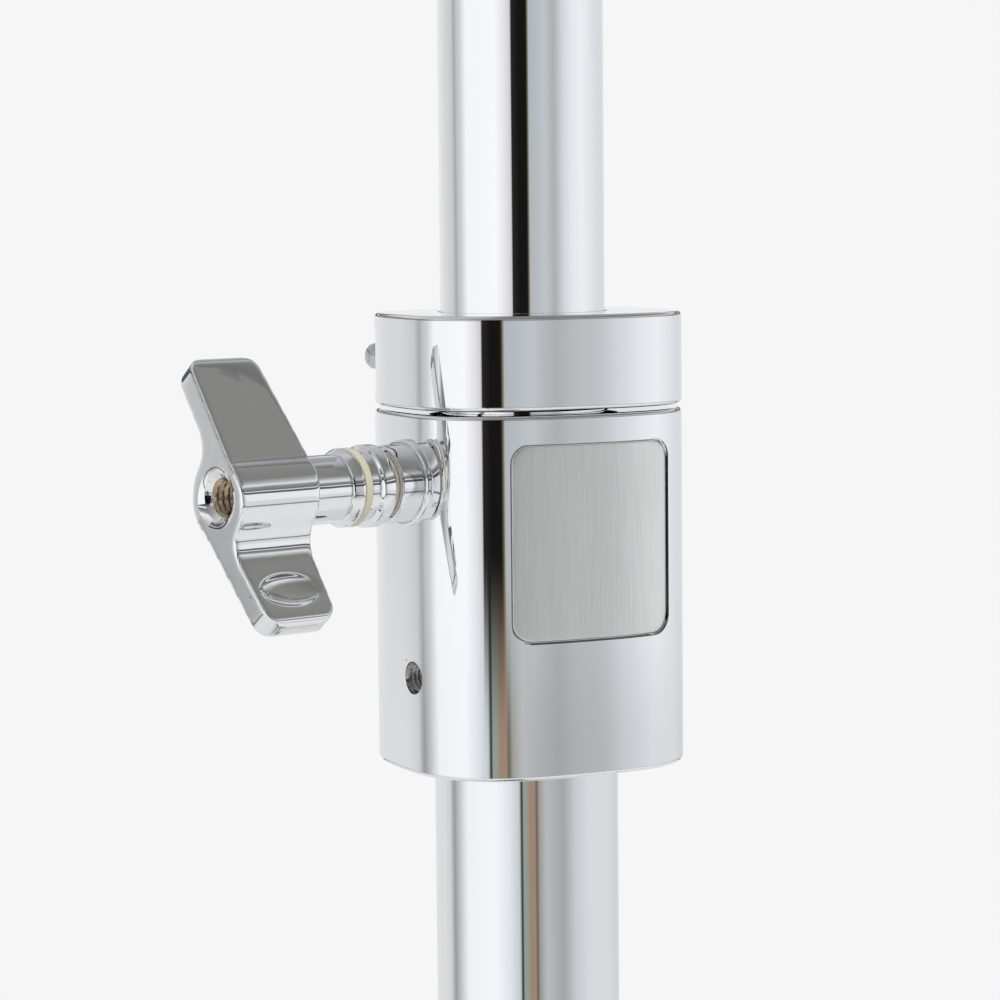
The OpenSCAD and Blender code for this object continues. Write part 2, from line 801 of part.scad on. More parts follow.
module spring_collar() {
    color("#8d9298") tube(lower_bore_r - 1.2, rod_r + seat_gap, spring_collar_z, spring_collar_z + 6);
}

module rod_clevis() {
    ear_x = chain_half_w + 1;
    color("#b8bcc2") {
        difference() {
            union() {
                box([-ear_x - 2.6, -5, clevis_pin_z + 5.2], [ear_x + 2.6, 5, crown_z - 0.4]);
                for (s = [0, 1]) mirror([s, 0, 0]) {
                    box([ear_x, -5, clevis_pin_z], [ear_x + 2.6, 5, clevis_pin_z + 6]);
                    translate([0, 0, clevis_pin_z]) rod_x(5, ear_x, ear_x + 2.6);
                }
            }
            translate([0, 0, clevis_pin_z + 4]) cylinder(r = rod_r + seat_gap, h = 6);
        }
        translate([0, 0, clevis_pin_z]) rod_x(clevis_pin_r, -ear_x - 3.2, ear_x + 3.2);
    }
}

// Clutch

module clutch_body() {
    color("#d8dbdf") difference() {
        union() {
            translate([0, 0, clutch_z]) cylinder(r = clutch_r, h = clutch_head_z - clutch_z + 1);
            translate([0, 0, clutch_head_z]) cylinder(r = clutch_head_r, h = clutch_head_h);
            translate([0, 0, clutch_screw_z]) rod_x(6, -clutch_head_r - 4, 0);
        }
        translate([0, 0, clutch_z - 1]) cylinder(r = clutch_bore_r, h = clutch_head_z + clutch_head_h);
        translate([0, 0, clutch_screw_z]) rod_x(rivet_r + run_gap, -clutch_head_r - 5, 0);
    }
}

// Round nut on the clutch tube with a hexagon of flats
module clutch_nut(z, h, r = 9) {
    difference() {
        translate([0, 0, z]) cylinder(r = r, h = h, $fn = 6);
        translate([0, 0, z - 1]) cylinder(r = clutch_r + seat_gap, h = h + 2);
    }
}

module clutch_nuts() {
    color("#c9ccd0") {
        clutch_nut(clutch_nut_z, 5);
        clutch_nut(clutch_nut_z + 5 + face_gap, clutch_head_z - clutch_nut_z - 5 - 2 * face_gap);
    }
}

module clutch_felts() {
    lower_z = clutch_z + 10 + seat_gap;
    color("#7b7d80") {
        tube(clutch_felt_r, clutch_r + 0.1, lower_z, lower_z + 7);
        tube(clutch_felt_r, clutch_r + 0.1, clutch_nut_z - 7 - seat_gap, clutch_nut_z - seat_gap);
    }
}

module clutch_lock_nut() {
    color("#c9ccd0") difference() {
        translate([0, 0, clutch_z + 3]) cylinder(r = 10, h = 7);
        translate([0, 0, clutch_z + 2]) cylinder(r = clutch_r + seat_gap, h = 9);
        for (a = [0:30:330]) rotate([0, 0, a]) translate([10.7, 0, clutch_z + 2]) cylinder(r = 1.3, h = 9);
    }
}

module clutch_wing_screw() {
    hub = -clutch_head_r - 4 - face_gap;
    color("#c9ccd0") translate([0, 0, clutch_screw_z]) {
        rod_x(rivet_r, hub - 1, -rod_r - 0.3);
        wings(hub - 9, 9, 5, 14, 1.2, 3, 0, 3);
    }
}

// Footboard and chain

module footboard() {
    half = board_w / 2;
    toe_half = toe_w / 2;
    rim_t = 4;
    color("#cfd2d6") on_board() difference() {
        union() {
            translate([0, 0, -board_t / 2]) linear_extrude(board_t)
                polygon([[-half + 4, 12], [half - 4, 12], [half, 24], [half, board_taper_y],
                         [toe_half, board_neck_y],
                         [toe_half, board_end_y], [-toe_half, board_end_y], [-toe_half, board_neck_y],
                         [-half, board_taper_y], [-half, 24]]);
            for (s = [0, 1]) mirror([s, 0, 0])
                box([half - rim_t, 24, -board_t / 2 - 5], [half, board_taper_y, 0]);
            box([-knuckle_half, 0, -board_t / 2], [knuckle_half, 16, board_t / 2]);
            rod_x(knuckle_r, -knuckle_half, knuckle_half);
        }
        rod_x(hinge_pin_r + run_gap, -knuckle_half - 1, knuckle_half + 1);
        for (i = [0:grip_count - 1])
            translate([0, grip_y0 + i * grip_pitch, board_t / 2 - 1 + grip_t / 2])
                cube([grip_len + 2 * seat_gap, grip_w + 2 * seat_gap, grip_t + eps], center = true);
    }
}

module footboard_grips() {
    color("#242528") on_board() for (i = [0:grip_count - 1])
        translate([0, grip_y0 + i * grip_pitch, board_t / 2 - 1 + grip_t / 2 + seat_gap])
            cube([grip_len, grip_w, grip_t], center = true);
}

module toe_stop() {
    y = board_neck_y - 26;
    color("#b8bcc2") on_board() {
        box([-22, y, board_t / 2], [22, y + 4, board_t / 2 + 20]);
        box([-22, y + 4, board_t / 2], [22, y + 16, board_t / 2 + 3]);
        for (x = [-14, 14]) translate([x, y + 10, board_t / 2 + 3]) cylinder(r = 3.6, h = 2.4);
    }
}

module toe_clevis() {
    ear_x = chain_half_w + 1;
    color("#b8bcc2") on_board() {
        difference() {
            union() {
                box([-ear_x - 3, board_end_y - 20, board_t / 2],
                    [ear_x + 3, board_end_y + 6, board_t / 2 + 3]);
                for (s = [0, 1]) mirror([s, 0, 0]) {
                    box([ear_x, board_end_y, -4.5], [ear_x + 3, board_len, board_t / 2 + 3]);
                    translate([0, board_len, 0]) rod_x(4.5, ear_x, ear_x + 3);
                }
            }
            box([-ear_x, board_len - 7.5, -8], [ear_x, board_len + 20, 20]);
        }
        translate([0, board_len, 0]) rod_x(chain_pin_r, -ear_x - 3.6, ear_x + 3.6);
    }
}

// Flat chain plate in the YZ plane between two pins, from x0 to x1
module link_plate(z_top, r_top, r_bottom, x0, x1) {
    r = 4.6;
    translate([x0, 0, z_top]) rotate([90, 0, 90]) linear_extrude(x1 - x0) difference() {
        union() {
            circle(r = r);
            translate([0, -chain_pitch]) circle(r = r);
            translate([-3.4, -chain_pitch]) square([6.8, chain_pitch]);
        }
        circle(r = r_top);
        translate([0, -chain_pitch]) circle(r = r_bottom);
    }
}

module chain_plates() {
    pin_hole = chain_pin_r + seat_gap;
    color("#a3a8ad") for (i = [0:chain_links - 1]) {
        inner = i % 2 == 0;
        x0 = inner ? plate_inner_x : plate_inner_x + link_plate_t + 0.2;
        r_top = i == 0 ? clevis_pin_r + run_gap : pin_hole;
        r_bottom = i == chain_links - 1 ? chain_pin_r + toe_pin_play : pin_hole;
        for (s = [0, 1]) mirror([s, 0, 0])
            link_plate(clevis_pin_z - i * chain_pitch, r_top, r_bottom, x0, x0 + link_plate_t);
    }
}

module chain_rollers() {
    half = plate_inner_x - 0.2;
    color("#8d9298") for (i = [0:chain_links]) translate([0, 0, clevis_pin_z - i * chain_pitch]) {
        if (i > 0 && i < chain_links) {
            rod_x(3.9, -half, half);
            rod_x(chain_pin_r, -chain_half_w - 0.4, chain_half_w + 0.4);
        } else {
            difference() {
                rod_x(3.9, -half, half);
                rod_x(i == 0 ? clevis_pin_r + run_gap : chain_pin_r + toe_pin_play, -half - 1, half + 1);
            }
        }
    }
}

// Tripod

module leg_ring() {
    color("#d3d6da") difference() {
        union() {
            translate([0, 0, leg_ring_z - ring_h / 2]) cylinder(r = sleeve_r, h = ring_h);
            for (a = leg_azimuths) rotate([0, 0, a]) {
                half = brace_inner - 0.2;
                box([10, -half, leg_ring_z - lug_r], [leg_pivot_r, half, leg_ring_z + lug_r]);
                translate([leg_pivot_r, 0, leg_ring_z]) rod_y(lug_r, -half, half);
            }
        }
        translate([0, 0, leg_ring_z - ring_h]) cylinder(r = sleeve_bore_r, h = 2 * ring_h);
        for (a = leg_azimuths) rotate([0, 0, a]) translate([leg_pivot_r, 0, leg_ring_z])
            rod_y(rivet_r + run_gap, -brace_inner - 1, brace_inner + 1);
    }
}

module leg_collar() {
    color("#d3d6da") difference() {
        union() {
            translate([0, 0, leg_collar_z - collar_h / 2]) cylinder(r = sleeve_r, h = collar_h);
            translate([0, 0, leg_collar_z]) rod_y(7, -leg_boss_y, -lower_tube_r);
            for (a = leg_azimuths) rotate([0, 0, a]) {
                half = leg_inner - 0.2;
                box([10, -half, leg_collar_z - lug_r], [leg_pivot_r, half, leg_collar_z + lug_r]);
                translate([leg_pivot_r, 0, leg_collar_z]) rod_y(lug_r, -half, half);
            }
        }
        translate([0, 0, leg_collar_z - collar_h]) cylinder(r = sleeve_bore_r, h = 2 * collar_h);
        translate([0, 0, leg_collar_z]) rod_y(rivet_r + run_gap, -leg_boss_y - 1, 0);
        for (a = leg_azimuths) rotate([0, 0, a]) translate([leg_pivot_r, 0, leg_collar_z])
            rod_y(rivet_r + run_gap, -leg_inner - 1, leg_inner + 1);
    }
}

module leg_wing_bolt() {
    color("#c9ccd0") translate([0, 0, leg_collar_z]) {
        rod_y(rivet_r, -leg_boss_y - face_gap - 1, -lower_tube_r - face_gap);
        rotate([0, 0, 90]) wings(-leg_boss_y - face_gap - 11, 11, 6, 20, 1.6, 4, 0, 4);
    }
}

// Leg of two strips with a rivet at the top and a round tongue for the foot
module leg(azimuth) {
    bar_len = leg_len - 35;
    color("#d8dbdf") on_leg(azimuth) {
        difference() {
            for (s = [0, 1]) mirror([0, s, 0]) {
                box([0, leg_inner, -leg_w / 2], [bar_len, leg_outer, leg_w / 2]);
                rod_y(leg_w / 2, leg_inner, leg_outer);
            }
            translate([brace_len, 0, 0]) rod_y(rivet_r + 0.2, -leg_outer - 1, leg_outer + 1);
        }
        rod_y(rivet_r, -leg_outer - rivet_head_t, leg_outer + rivet_head_t);
        for (s = [0, 1]) mirror([0, s, 0]) rod_y(rivet_head_r, leg_outer, leg_outer + rivet_head_t);
        box([bar_len - 10, -leg_outer, -leg_w / 2], [bar_len + 4, leg_outer, leg_w / 2]);
        rod_x(tongue_r, bar_len, bar_len + 4 + tongue_len);
    }
}

module leg_back() { leg(leg_azimuths[0]); }

module leg_left() { leg(leg_azimuths[1]); }

module leg_right() { leg(leg_azimuths[2]); }

// Rubber foot with a round toe and a socket for the tongue of the leg
module foot(azimuth) {
    start = leg_len - 31 + 0.1;
    color("#26272a") on_leg(azimuth) difference() {
        union() {
            rod_x(foot_r - 0.5, start, leg_len);
            translate([leg_len, 0, 0]) sphere(r = foot_r);
        }
        rod_x(tongue_r + seat_gap, start - 1, start + tongue_len + 1);
    }
}

module foot_back() { foot(leg_azimuths[0]); }

module foot_left() { foot(leg_azimuths[1]); }

module foot_right() { foot(leg_azimuths[2]); }

// Brace of two strips outside the leg, with a rivet through the leg ring
module brace(azimuth) {
    color("#d8dbdf") on_brace(azimuth) {
        for (s = [0, 1]) mirror([0, s, 0]) {
            strip(brace_len, brace_w, brace_inner, brace_outer);
            for (x = [0, brace_len]) translate([x, 0, 0])
                rod_y(rivet_head_r, brace_outer, brace_outer + rivet_head_t);
        }
        rod_y(rivet_r, -brace_outer, brace_outer);
    }
}

module brace_back() { brace(leg_azimuths[0]); }

module brace_left() { brace(leg_azimuths[1]); }

module brace_right() { brace(leg_azimuths[2]); }

base_plate();
drive_yoke();
yoke_screws();
lower_tube();
spring_seat();
return_spring();
clamp_body();
clamp_badge();
clamp_eye_bolt();
guide_bush_lower();
guide_bush_upper();
bolt_bushing();
nylon_washers();
flange_washer();
domed_washer();
heel_plate();
heel_hinge_pin();
radius_rods();
wing_nut();
upper_tube();
memory_lock();
memory_lock_screw();
rod_guide();
seat_base();
seat_hinge_pin();
seat_cup();
seat_sleeve();
seat_felt();
tilt_screw();
lower_pull_rod();
rod_coupler();
upper_pull_rod();
spring_collar();
rod_clevis();
clutch_body();
clutch_nuts();
clutch_felts();
clutch_lock_nut();
clutch_wing_screw();
footboard();
footboard_grips();
toe_stop();
toe_clevis();
chain_plates();
chain_rollers();
tension_dial();
leg_ring();
leg_collar();
leg_wing_bolt();
leg_back();
leg_left();
leg_right();
foot_back();
foot_left();
foot_right();
brace_back();
brace_left();
brace_right();
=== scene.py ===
# %% [markdown]
# # Hi-hat stand
# This file dresses a hi-hat stand for its picture. The frame that is loaded first is the stand's
# plain solid model, already at its real size and in the right place. Every piece made here goes
# over one of its solids. The picture is a close view of the height clamp, where chrome is all that
# there is to see, so round forms need many fine faces and edges need a real radius.

import json
import math

import bmesh
import bpy
import numpy as np
from mathutils import Matrix, Vector


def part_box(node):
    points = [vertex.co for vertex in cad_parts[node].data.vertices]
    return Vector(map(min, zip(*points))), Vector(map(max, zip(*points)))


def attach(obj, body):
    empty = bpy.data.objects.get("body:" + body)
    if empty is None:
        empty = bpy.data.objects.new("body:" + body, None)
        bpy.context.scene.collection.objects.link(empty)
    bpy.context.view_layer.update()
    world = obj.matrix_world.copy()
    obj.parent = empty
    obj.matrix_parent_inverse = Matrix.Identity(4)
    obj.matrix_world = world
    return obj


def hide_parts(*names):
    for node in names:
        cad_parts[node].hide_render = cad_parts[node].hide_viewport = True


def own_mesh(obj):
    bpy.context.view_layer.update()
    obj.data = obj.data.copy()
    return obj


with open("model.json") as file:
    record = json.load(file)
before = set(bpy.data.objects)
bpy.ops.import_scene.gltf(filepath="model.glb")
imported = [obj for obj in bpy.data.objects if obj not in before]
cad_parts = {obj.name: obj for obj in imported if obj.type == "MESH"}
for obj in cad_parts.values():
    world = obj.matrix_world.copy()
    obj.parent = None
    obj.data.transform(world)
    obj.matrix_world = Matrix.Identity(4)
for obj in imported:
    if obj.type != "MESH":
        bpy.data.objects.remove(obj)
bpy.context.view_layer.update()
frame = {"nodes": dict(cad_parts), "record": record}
record = frame["record"]
body_of = {node: body for body, nodes in record["behaviour"]["bodies"].items() for node in nodes}

# %% [markdown]
# ## Sizes
# The sizes are in millimetres, as a maker would write them, and are turned into metres where a
# mesh is made. They are the sizes of the solids. The clamp stands on the wider lower tube, the
# narrower upper tube slides in it, and the clamp bolt is turned a little towards the player.

# %% Sizes of the column and the clamp
MM = 0.001
LOWER_TUBE_R = 14.3
LOWER_BORE_R = 12.9
UPPER_TUBE_R = 12.7
UPPER_BORE_R = 11.5
CLAMP_Z = 469.6
CLAMP_H = 54.6
CLAMP_HALF_X = 22.45
CLAMP_HALF_Y = 20.1
CLAMP_SHIFT = 1.6
CLAMP_ROUNDNESS = 2.85
TUBE_SEAT_DEPTH = 26.0
BOLT_DROP = 10.4
BOLT_TURN = 15.0
BOLT_R = 2.8
LOCK_GAP = 0.6
LOCK_H = 14.1
RIM = 0.7
CLAMP_TOP = CLAMP_Z + CLAMP_H
BOLT_Z = CLAMP_TOP - BOLT_DROP
LOCK_Z = CLAMP_TOP + LOCK_GAP
print("clamp from", CLAMP_Z, "to", CLAMP_TOP, "mm, bolt at", BOLT_Z, "mm")

# %% [markdown]
# ## Helpers that every step shares
# Three things come back all the time: a turn by some degrees, an object that has to be put into the
# scene, and a tree of nodes. The tree helper makes a node, sets what it is given as a number and
# links what it is given as a node or an output, so that a tree reads like a formula.

# %% Shared helpers


def turned(degrees, axis):
    return Matrix.Rotation(math.radians(degrees), 4, axis)


def at(x=0.0, y=0.0, z=0.0):
    return Matrix.Translation((x, y, z))


def link(name, data):
    thing = bpy.data.objects.new(name, data)
    bpy.context.scene.collection.objects.link(thing)
    return thing


class Tree:
    """A node tree being built."""

    def __init__(self, tree):
        self.tree, self.nodes, self.links = tree, tree.nodes, tree.links

    def plug(self, value, socket):
        """Links an output, or the first output of a node. Anything else is set as the value."""
        if isinstance(value, bpy.types.Node):
            value = value.outputs[0]
        if isinstance(value, bpy.types.NodeSocket):
            self.links.new(value, socket)
        else:
            socket.default_value = value

    def node(self, kind, *first, **named):
        """A new node. Names with a capital are inputs, and names in small letters are settings."""
        node = self.nodes.new(kind)
        inputs = dict(enumerate(first))
        for key, value in named.items():
            if key[0].isupper():
                inputs[key.replace("_", " ")] = value
            else:
                setattr(node, key, value)
        for key, value in inputs.items():
            self.plug(value, node.inputs[key])
        return node

    def spread(self, value, start, end, low=0.0, high=1.0, kind="LINEAR"):
        """Moves a value from one range to another, cut off at the ends."""
        return self.node("ShaderNodeMapRange", value, interpolation_type=kind, From_Min=start,
                         From_Max=end, To_Min=low, To_Max=high).outputs[0]

    def ramp(self, value, stops):
        """Colours at places from 0 to 1."""
        node = self.node("ShaderNodeValToRGB", value)
        elements = node.color_ramp.elements
        for element, (place, colour) in zip(elements, (stops[0], stops[-1])):
            element.position, element.color = place, (*colour, 1)
        for place, colour in stops[1:-1]:
            elements.new(place).color = (*colour, 1)
        return node.outputs["Color"]

    def blend(self, share, first, second):
        """Goes from the first colour to the second."""
        node = self.node("ShaderNodeMix", share, data_type="RGBA")
        colours = [socket for socket in node.inputs if socket.type == "RGBA"]
        self.plug(first, colours[0])
        self.plug(second, colours[1])
        return next(socket for socket in node.outputs if socket.type == "RGBA")


print("helpers for turns, objects and node trees")

# %% [markdown]
# ## The camera
# The picture was taken from about half a metre with a long lens, a little above the clamp and
# from the front left. The camera is placed from those facts: its distance, its turn round the
# column, its tilt down and a small lean, which the slightly leaning tubes give away.

# %% Camera
CAMERA_DISTANCE = 480.0
CAMERA_TURN = 25.5
CAMERA_Z = 555.0
CAMERA_TILT = 5.4
CAMERA_LEAN = -0.55
CAMERA_ASIDE = 0.447
PICTURE_PX = 1000
FOCAL_PX = 3107.0
SENSOR_MM = 36.0


def add_camera():
    data = bpy.data.cameras.new("camera")
    data.sensor_width, data.sensor_fit = SENSOR_MM, "HORIZONTAL"
    data.lens = SENSOR_MM * FOCAL_PX / PICTURE_PX
    data.clip_start = 0.01
    camera = link("camera", data)
    turn = math.radians(CAMERA_TURN)
    place = Vector((-math.sin(turn), -math.cos(turn), 0)) * CAMERA_DISTANCE * MM
    place.z = CAMERA_Z * MM
    camera.matrix_world = (at(*place) @ turned(CAMERA_ASIDE - CAMERA_TURN, "Z")
                           @ turned(90 - CAMERA_TILT, "X") @ turned(CAMERA_LEAN, "Z"))
    bpy.context.scene.camera = camera
    return camera


camera = add_camera()
print("lens", round(camera.data.lens, 1), "mm")

# %% [markdown]
# ## The studio
# Chrome has no colour of its own. What makes it look like chrome is the room that it mirrors, so
# the room is drawn first: a band of light and dark cards round the horizon, given by their bearing
# from the camera, under a dark ceiling. Only mirrored rays see these cards. What the camera sees
# behind the stand is a plain pale backdrop, and matt surfaces get an even light.

# %% Cards round the horizon
# Each stop is a bearing in degrees, left of the camera being negative, and a colour. Two stops
# close together make the hard edge of a card, and two far apart a soft fall of light.
HORIZON = [
    (-180, 0.86, 0.87, 0.89), (-150, 0.84, 0.85, 0.87), (-126, 0.74, 0.74, 0.745),
    (-112, 0.66, 0.66, 0.66), (-105, 0.44, 0.44, 0.435), (-100, 0.6, 0.6, 0.6),
    (-93, 0.7, 0.7, 0.71), (-82, 1.04, 1.04, 1.05), (-36, 1.08, 1.08, 1.09),
    (-23, 0.88, 0.89, 0.93), (-14.2, 0.72, 0.72, 0.74), (-13.2, 0.03, 0.022, 0.02),
    (-2.8, 0.008, 0.008, 0.01), (-2.3, 0.16, 0.145, 0.13), (-1.8, 0.01, 0.009, 0.008),
    (8.2, 0.008, 0.009, 0.008), (8.8, 0.1, 0.13, 0.06), (10.0, 0.3, 0.22, 0.14),
    (10.8, 0.5, 0.53, 0.55), (33, 0.6, 0.625, 0.645), (46, 0.48, 0.49, 0.495),
    (52, 0.57, 0.585, 0.6), (60, 0.74, 0.76, 0.78), (74, 0.89, 0.91, 0.93), (92, 0.97, 0.98, 1.0),
    (125, 0.8, 0.82, 0.84), (150, 0.75, 0.77, 0.79), (180, 0.86, 0.87, 0.89),
]
NEAR_FLOOR = [
    (-180, 0.8, 0.8, 0.81), (-126, 0.8, 0.8, 0.8), (-113, 0.72, 0.72, 0.72),
    (-104, 0.36, 0.36, 0.355), (-96, 0.56, 0.56, 0.56), (-80, 1.0, 1.0, 1.01),
    (-40, 1.05, 1.05, 1.06), (-22, 0.86, 0.88, 0.93), (-9, 0.62, 0.66, 0.69),
    (-7.5, 0.05, 0.05, 0.05), (-5.5, 0.07, 0.07, 0.06), (-4.5, 0.34, 0.39, 0.33),
    (1.5, 0.32, 0.36, 0.3), (3, 0.4, 0.27, 0.19), (10, 0.38, 0.27, 0.2), (12, 0.12, 0.1, 0.08),
    (15, 0.38, 0.36, 0.32), (24, 0.54, 0.56, 0.57), (46, 0.42, 0.43, 0.435), (54, 0.52, 0.53, 0.54),
    (62, 0.65, 0.67, 0.69), (84, 0.78, 0.8, 0.82), (120, 0.78, 0.8, 0.81),
    (150, 0.68, 0.7, 0.71), (180, 0.8, 0.8, 0.81),
]
CEILING = [
    (-180, 0.4, 0.4, 0.41), (-130, 0.62, 0.63, 0.64), (-70, 0.48, 0.49, 0.5),
    (-20, 0.3, 0.3, 0.29), (60, 0.2, 0.2, 0.19), (110, 0.27, 0.27, 0.25),
    (150, 0.36, 0.36, 0.345), (180, 0.4, 0.4, 0.41),
]
# Dark rails and lamps above and below the level that upright faces see. They give the bands
# that run along anything turned round a level axis. Each stop is a height and a share of light.
RAILS = [
    (-1.0, 0.55), (-0.66, 0.62), (-0.63, 0.16), (-0.52, 0.2), (-0.49, 1.0), (-0.34, 1.0),
    (-0.325, 0.25), (-0.285, 0.35), (-0.27, 1.0), (0.095, 1.0), (0.11, 0.1), (0.19, 0.18),
    (0.205, 1.0), (0.225, 1.0), (0.24, 0.16), (0.34, 0.34), (0.4, 1.0), (1.0, 1.0),
]
# Heights of the sight line, as the sine of its angle, between which one band gives way to the next
CEILING_EDGE = (0.34, 0.62)
FLOOR_EDGE = (-0.18, -0.11)
BACKDROP = 0.92
ROOM_LIGHT = 0.62


def by_bearing(stops):
    """The stops as places on a ramp over a full turn."""
    return [((bearing + 180) / 360, colour) for bearing, *colour in stops]


def add_world():
    world = bpy.data.worlds.new("studio")
    bpy.context.scene.world = world
    world.use_nodes = True
    world.node_tree.nodes.clear()
    tree = Tree(world.node_tree)
    place = tree.node("ShaderNodeTexCoord").outputs["Generated"]
    turn = tree.node("ShaderNodeVectorRotate", place, rotation_type="Z_AXIS",
                     Angle=math.radians(90 + CAMERA_TURN))
    x, y, up = tree.node("ShaderNodeSeparateXYZ", turn).outputs
    bearing = tree.spread(tree.node("ShaderNodeMath", y, x, operation="ARCTAN2"), -math.pi, math.pi)
    level, floor, ceiling = [tree.ramp(bearing, by_bearing(stops))
                             for stops in (HORIZON, NEAR_FLOOR, CEILING)]
    room = tree.blend(tree.spread(up, *FLOOR_EDGE, kind="SMOOTHSTEP"), floor, level)
    room = tree.blend(tree.spread(up, *CEILING_EDGE, kind="SMOOTHSTEP"), room, ceiling)
    rails = tree.ramp(tree.spread(up, -1.0, 1.0),
                      [((height + 1) / 2, (share,) * 3) for height, share in RAILS])
    mirrored = tree.node("ShaderNodeBackground", room, tree.node("ShaderNodeRGBToBW", rails))
    light = tree.node("ShaderNodeBackground", (1, 1, 1, 1), ROOM_LIGHT)
    backdrop = tree.node("ShaderNodeBackground", (BACKDROP, BACKDROP, BACKDROP, 1))
    ray = tree.node("ShaderNodeLightPath").outputs
    mirror_ray = tree.node("ShaderNodeMath", ray["Is Glossy Ray"], ray["Is Transmission Ray"],
                           operation="MAXIMUM")
    unseen = tree.node("ShaderNodeMixShader", mirror_ray, light, mirrored)
    seen = tree.node("ShaderNodeMixShader", ray["Is Camera Ray"], unseen, backdrop)
    tree.node("ShaderNodeOutputWorld", Surface=seen)


add_world()
print("stops", len(HORIZON), "level,", len(NEAR_FLOOR), "low,", len(CEILING), "high")

# %% [markdown]
# ## Lamps
# Three large soft lamps shape the matt pieces. The chrome doesn't see them, because the cards above
# already stand for them.

# %% Lamps
LAMP_AIM = Vector((0, 0, 0.5))
LAMPS = [
    ("lamp_left", (-1.9, -1.6, 2.2), 1.6, 26.0),
    ("lamp_right", (2.0, -1.2, 1.8), 1.4, 14.0),
    ("lamp_back", (0.4, 2.2, 2.4), 1.6, 12.0),
]


def add_lamps():
    for name, place, size, power in LAMPS:
        data = bpy.data.lights.new(name, "AREA")
        data.shape, data.size, data.energy = "DISK", size, power
        lamp = link(name, data)
        aim = (LAMP_AIM - Vector(place)).to_track_quat("-Z", "Y")
        lamp.matrix_world = at(*place) @ aim.to_matrix().to_4x4()
        lamp.visible_glossy = False


bpy.context.scene.view_settings.view_transform = "Standard"
add_lamps()
print(len(LAMPS), "lamps")

# %% [markdown]
# ## Finishes
# Each finish is a node tree on Object coordinates, so a pattern stays on its piece when a joint
# moves. A small helper makes the shader and the noise that most of them share. Polished metal still
# has a very slight waviness and a few specks, and without them it looks like plastic film.

# %% Helpers for the finishes


class Finish(Tree):
    """A material being built, from noise that is wired into its colour, roughness and relief."""

    def __init__(self, name, colour, metallic, roughness, **more):
        self.material = bpy.data.materials.new(name)
        self.material.use_nodes = True
        self.material.diffuse_color = (*colour, 1)
        super().__init__(self.material.node_tree)
        self.shader = self.nodes["Principled BSDF"]
        more.update(Base_Color=(*colour, 1), Metallic=metallic, Roughness=roughness)
        for key, value in more.items():
            self.shader.inputs[key.replace("_", " ")].default_value = value
        self.place = self.node("ShaderNodeTexCoord").outputs["Object"]

    def noise(self, scale, detail=3.0, stretch=None):
        place = self.place
        if stretch:
            place = self.node("ShaderNodeMapping", place, Scale=stretch)
        noise = self.node("ShaderNodeTexNoise", Vector=place, Scale=scale, Detail=detail)
        return noise.outputs["Fac"]

    def rough(self, value, low, high):
        self.plug(self.spread(value, 0.3, 0.7, low, high), self.shader.inputs["Roughness"])

    def tint(self, value, dark, light, start=0.35, end=0.65):
        colour = self.ramp(value, [(start, dark), (end, light)])
        self.plug(colour, self.shader.inputs["Base Color"])

    def bump(self, value, depth_mm, strength=1.0):
        """Adds relief on top of the relief that is already there."""
        normal = self.shader.inputs["Normal"]
        node = self.node("ShaderNodeBump", Height=value, Distance=depth_mm * MM, Strength=strength)
        if normal.is_linked:
            self.plug(normal.links[0].from_socket, node.inputs["Normal"])
        self.plug(node, normal)


print("finish helper ready")

# %% [markdown]
# ## The floor
# The floor is a pale disc that fades out at its rim, so that it keeps the stand's shadow and has no
# visible edge. Its finish is one plain colour, whose cover depends on the distance from the middle.

# %% Floor
FLOOR_R = 1.5
FLOOR_SOLID_R = 0.75
FLOOR_DROP = 0.0004
FLOOR_COLOUR = (0.88, 0.88, 0.885)


def settle(bm, mesh):
    """Writes what was being edited into a mesh, or into a new mesh of a name."""
    if isinstance(mesh, str):
        mesh = bpy.data.meshes.new(mesh)
    bm.to_mesh(mesh)
    bm.free()
    return mesh


def add_floor():
    bm = bmesh.new()
    bmesh.ops.create_circle(bm, cap_ends=True, segments=96, radius=FLOOR_R)
    floor = link("floor", settle(bm, "floor"))
    floor.location.z = -FLOOR_DROP
    pale = Finish("pale_floor", FLOOR_COLOUR, 0.0, 0.9, Specular_IOR_Level=0.1)
    away = pale.node("ShaderNodeVectorMath", pale.place, operation="LENGTH").outputs["Value"]
    cover = pale.spread(away, FLOOR_SOLID_R, FLOOR_R, 1.0, 0.0, "SMOOTHSTEP")
    pale.plug(cover, pale.shader.inputs["Alpha"])
    floor.data.materials.append(pale.material)


add_floor()
print("floor of", FLOOR_R, "m")

# %% [markdown]
# ## Chrome
# The tubes are polished tube, so their ripple runs along them. The castings are polished by hand
# and have a rounder ripple and a few pits, where the plating is dull and brown.

# %% Chrome
MIRROR = (0.86, 0.87, 0.885)
STAIN = (0.42, 0.41, 0.4)


def chrome(name, waves, depth, stretch=None, pits=False, ripple=0.0):
    finish = Finish(name, MIRROR, 1.0, 0.03)
    finish.rough(finish.noise(90, 2.0), 0.012, 0.036)
    finish.bump(finish.noise(waves, 1.0, stretch), depth)
    if ripple:
        finish.bump(finish.noise(170, 2.0), ripple)
    if pits:
        specks = finish.node("ShaderNodeTexVoronoi", Vector=finish.place, Scale=110)
        mark = finish.spread(specks.outputs["Distance"], 0.012, 0.035)
        finish.tint(mark, STAIN, MIRROR, 0.0, 1.0)
        finish.bump(mark, 0.02, 0.5)
    return finish.material


TUBE_CHROME = chrome("tube_chrome", 60, 0.004, stretch=(1, 1, 0.1))
CAST_CHROME = chrome("cast_chrome", 45, 0.012, pits=True)
PLATED_CHROME = chrome("plated_chrome", 70, 0.008)
HAND_CHROME = chrome("hand_polished_chrome", 45, 0.012, pits=True, ripple=0.035)
print("four kinds of chrome")

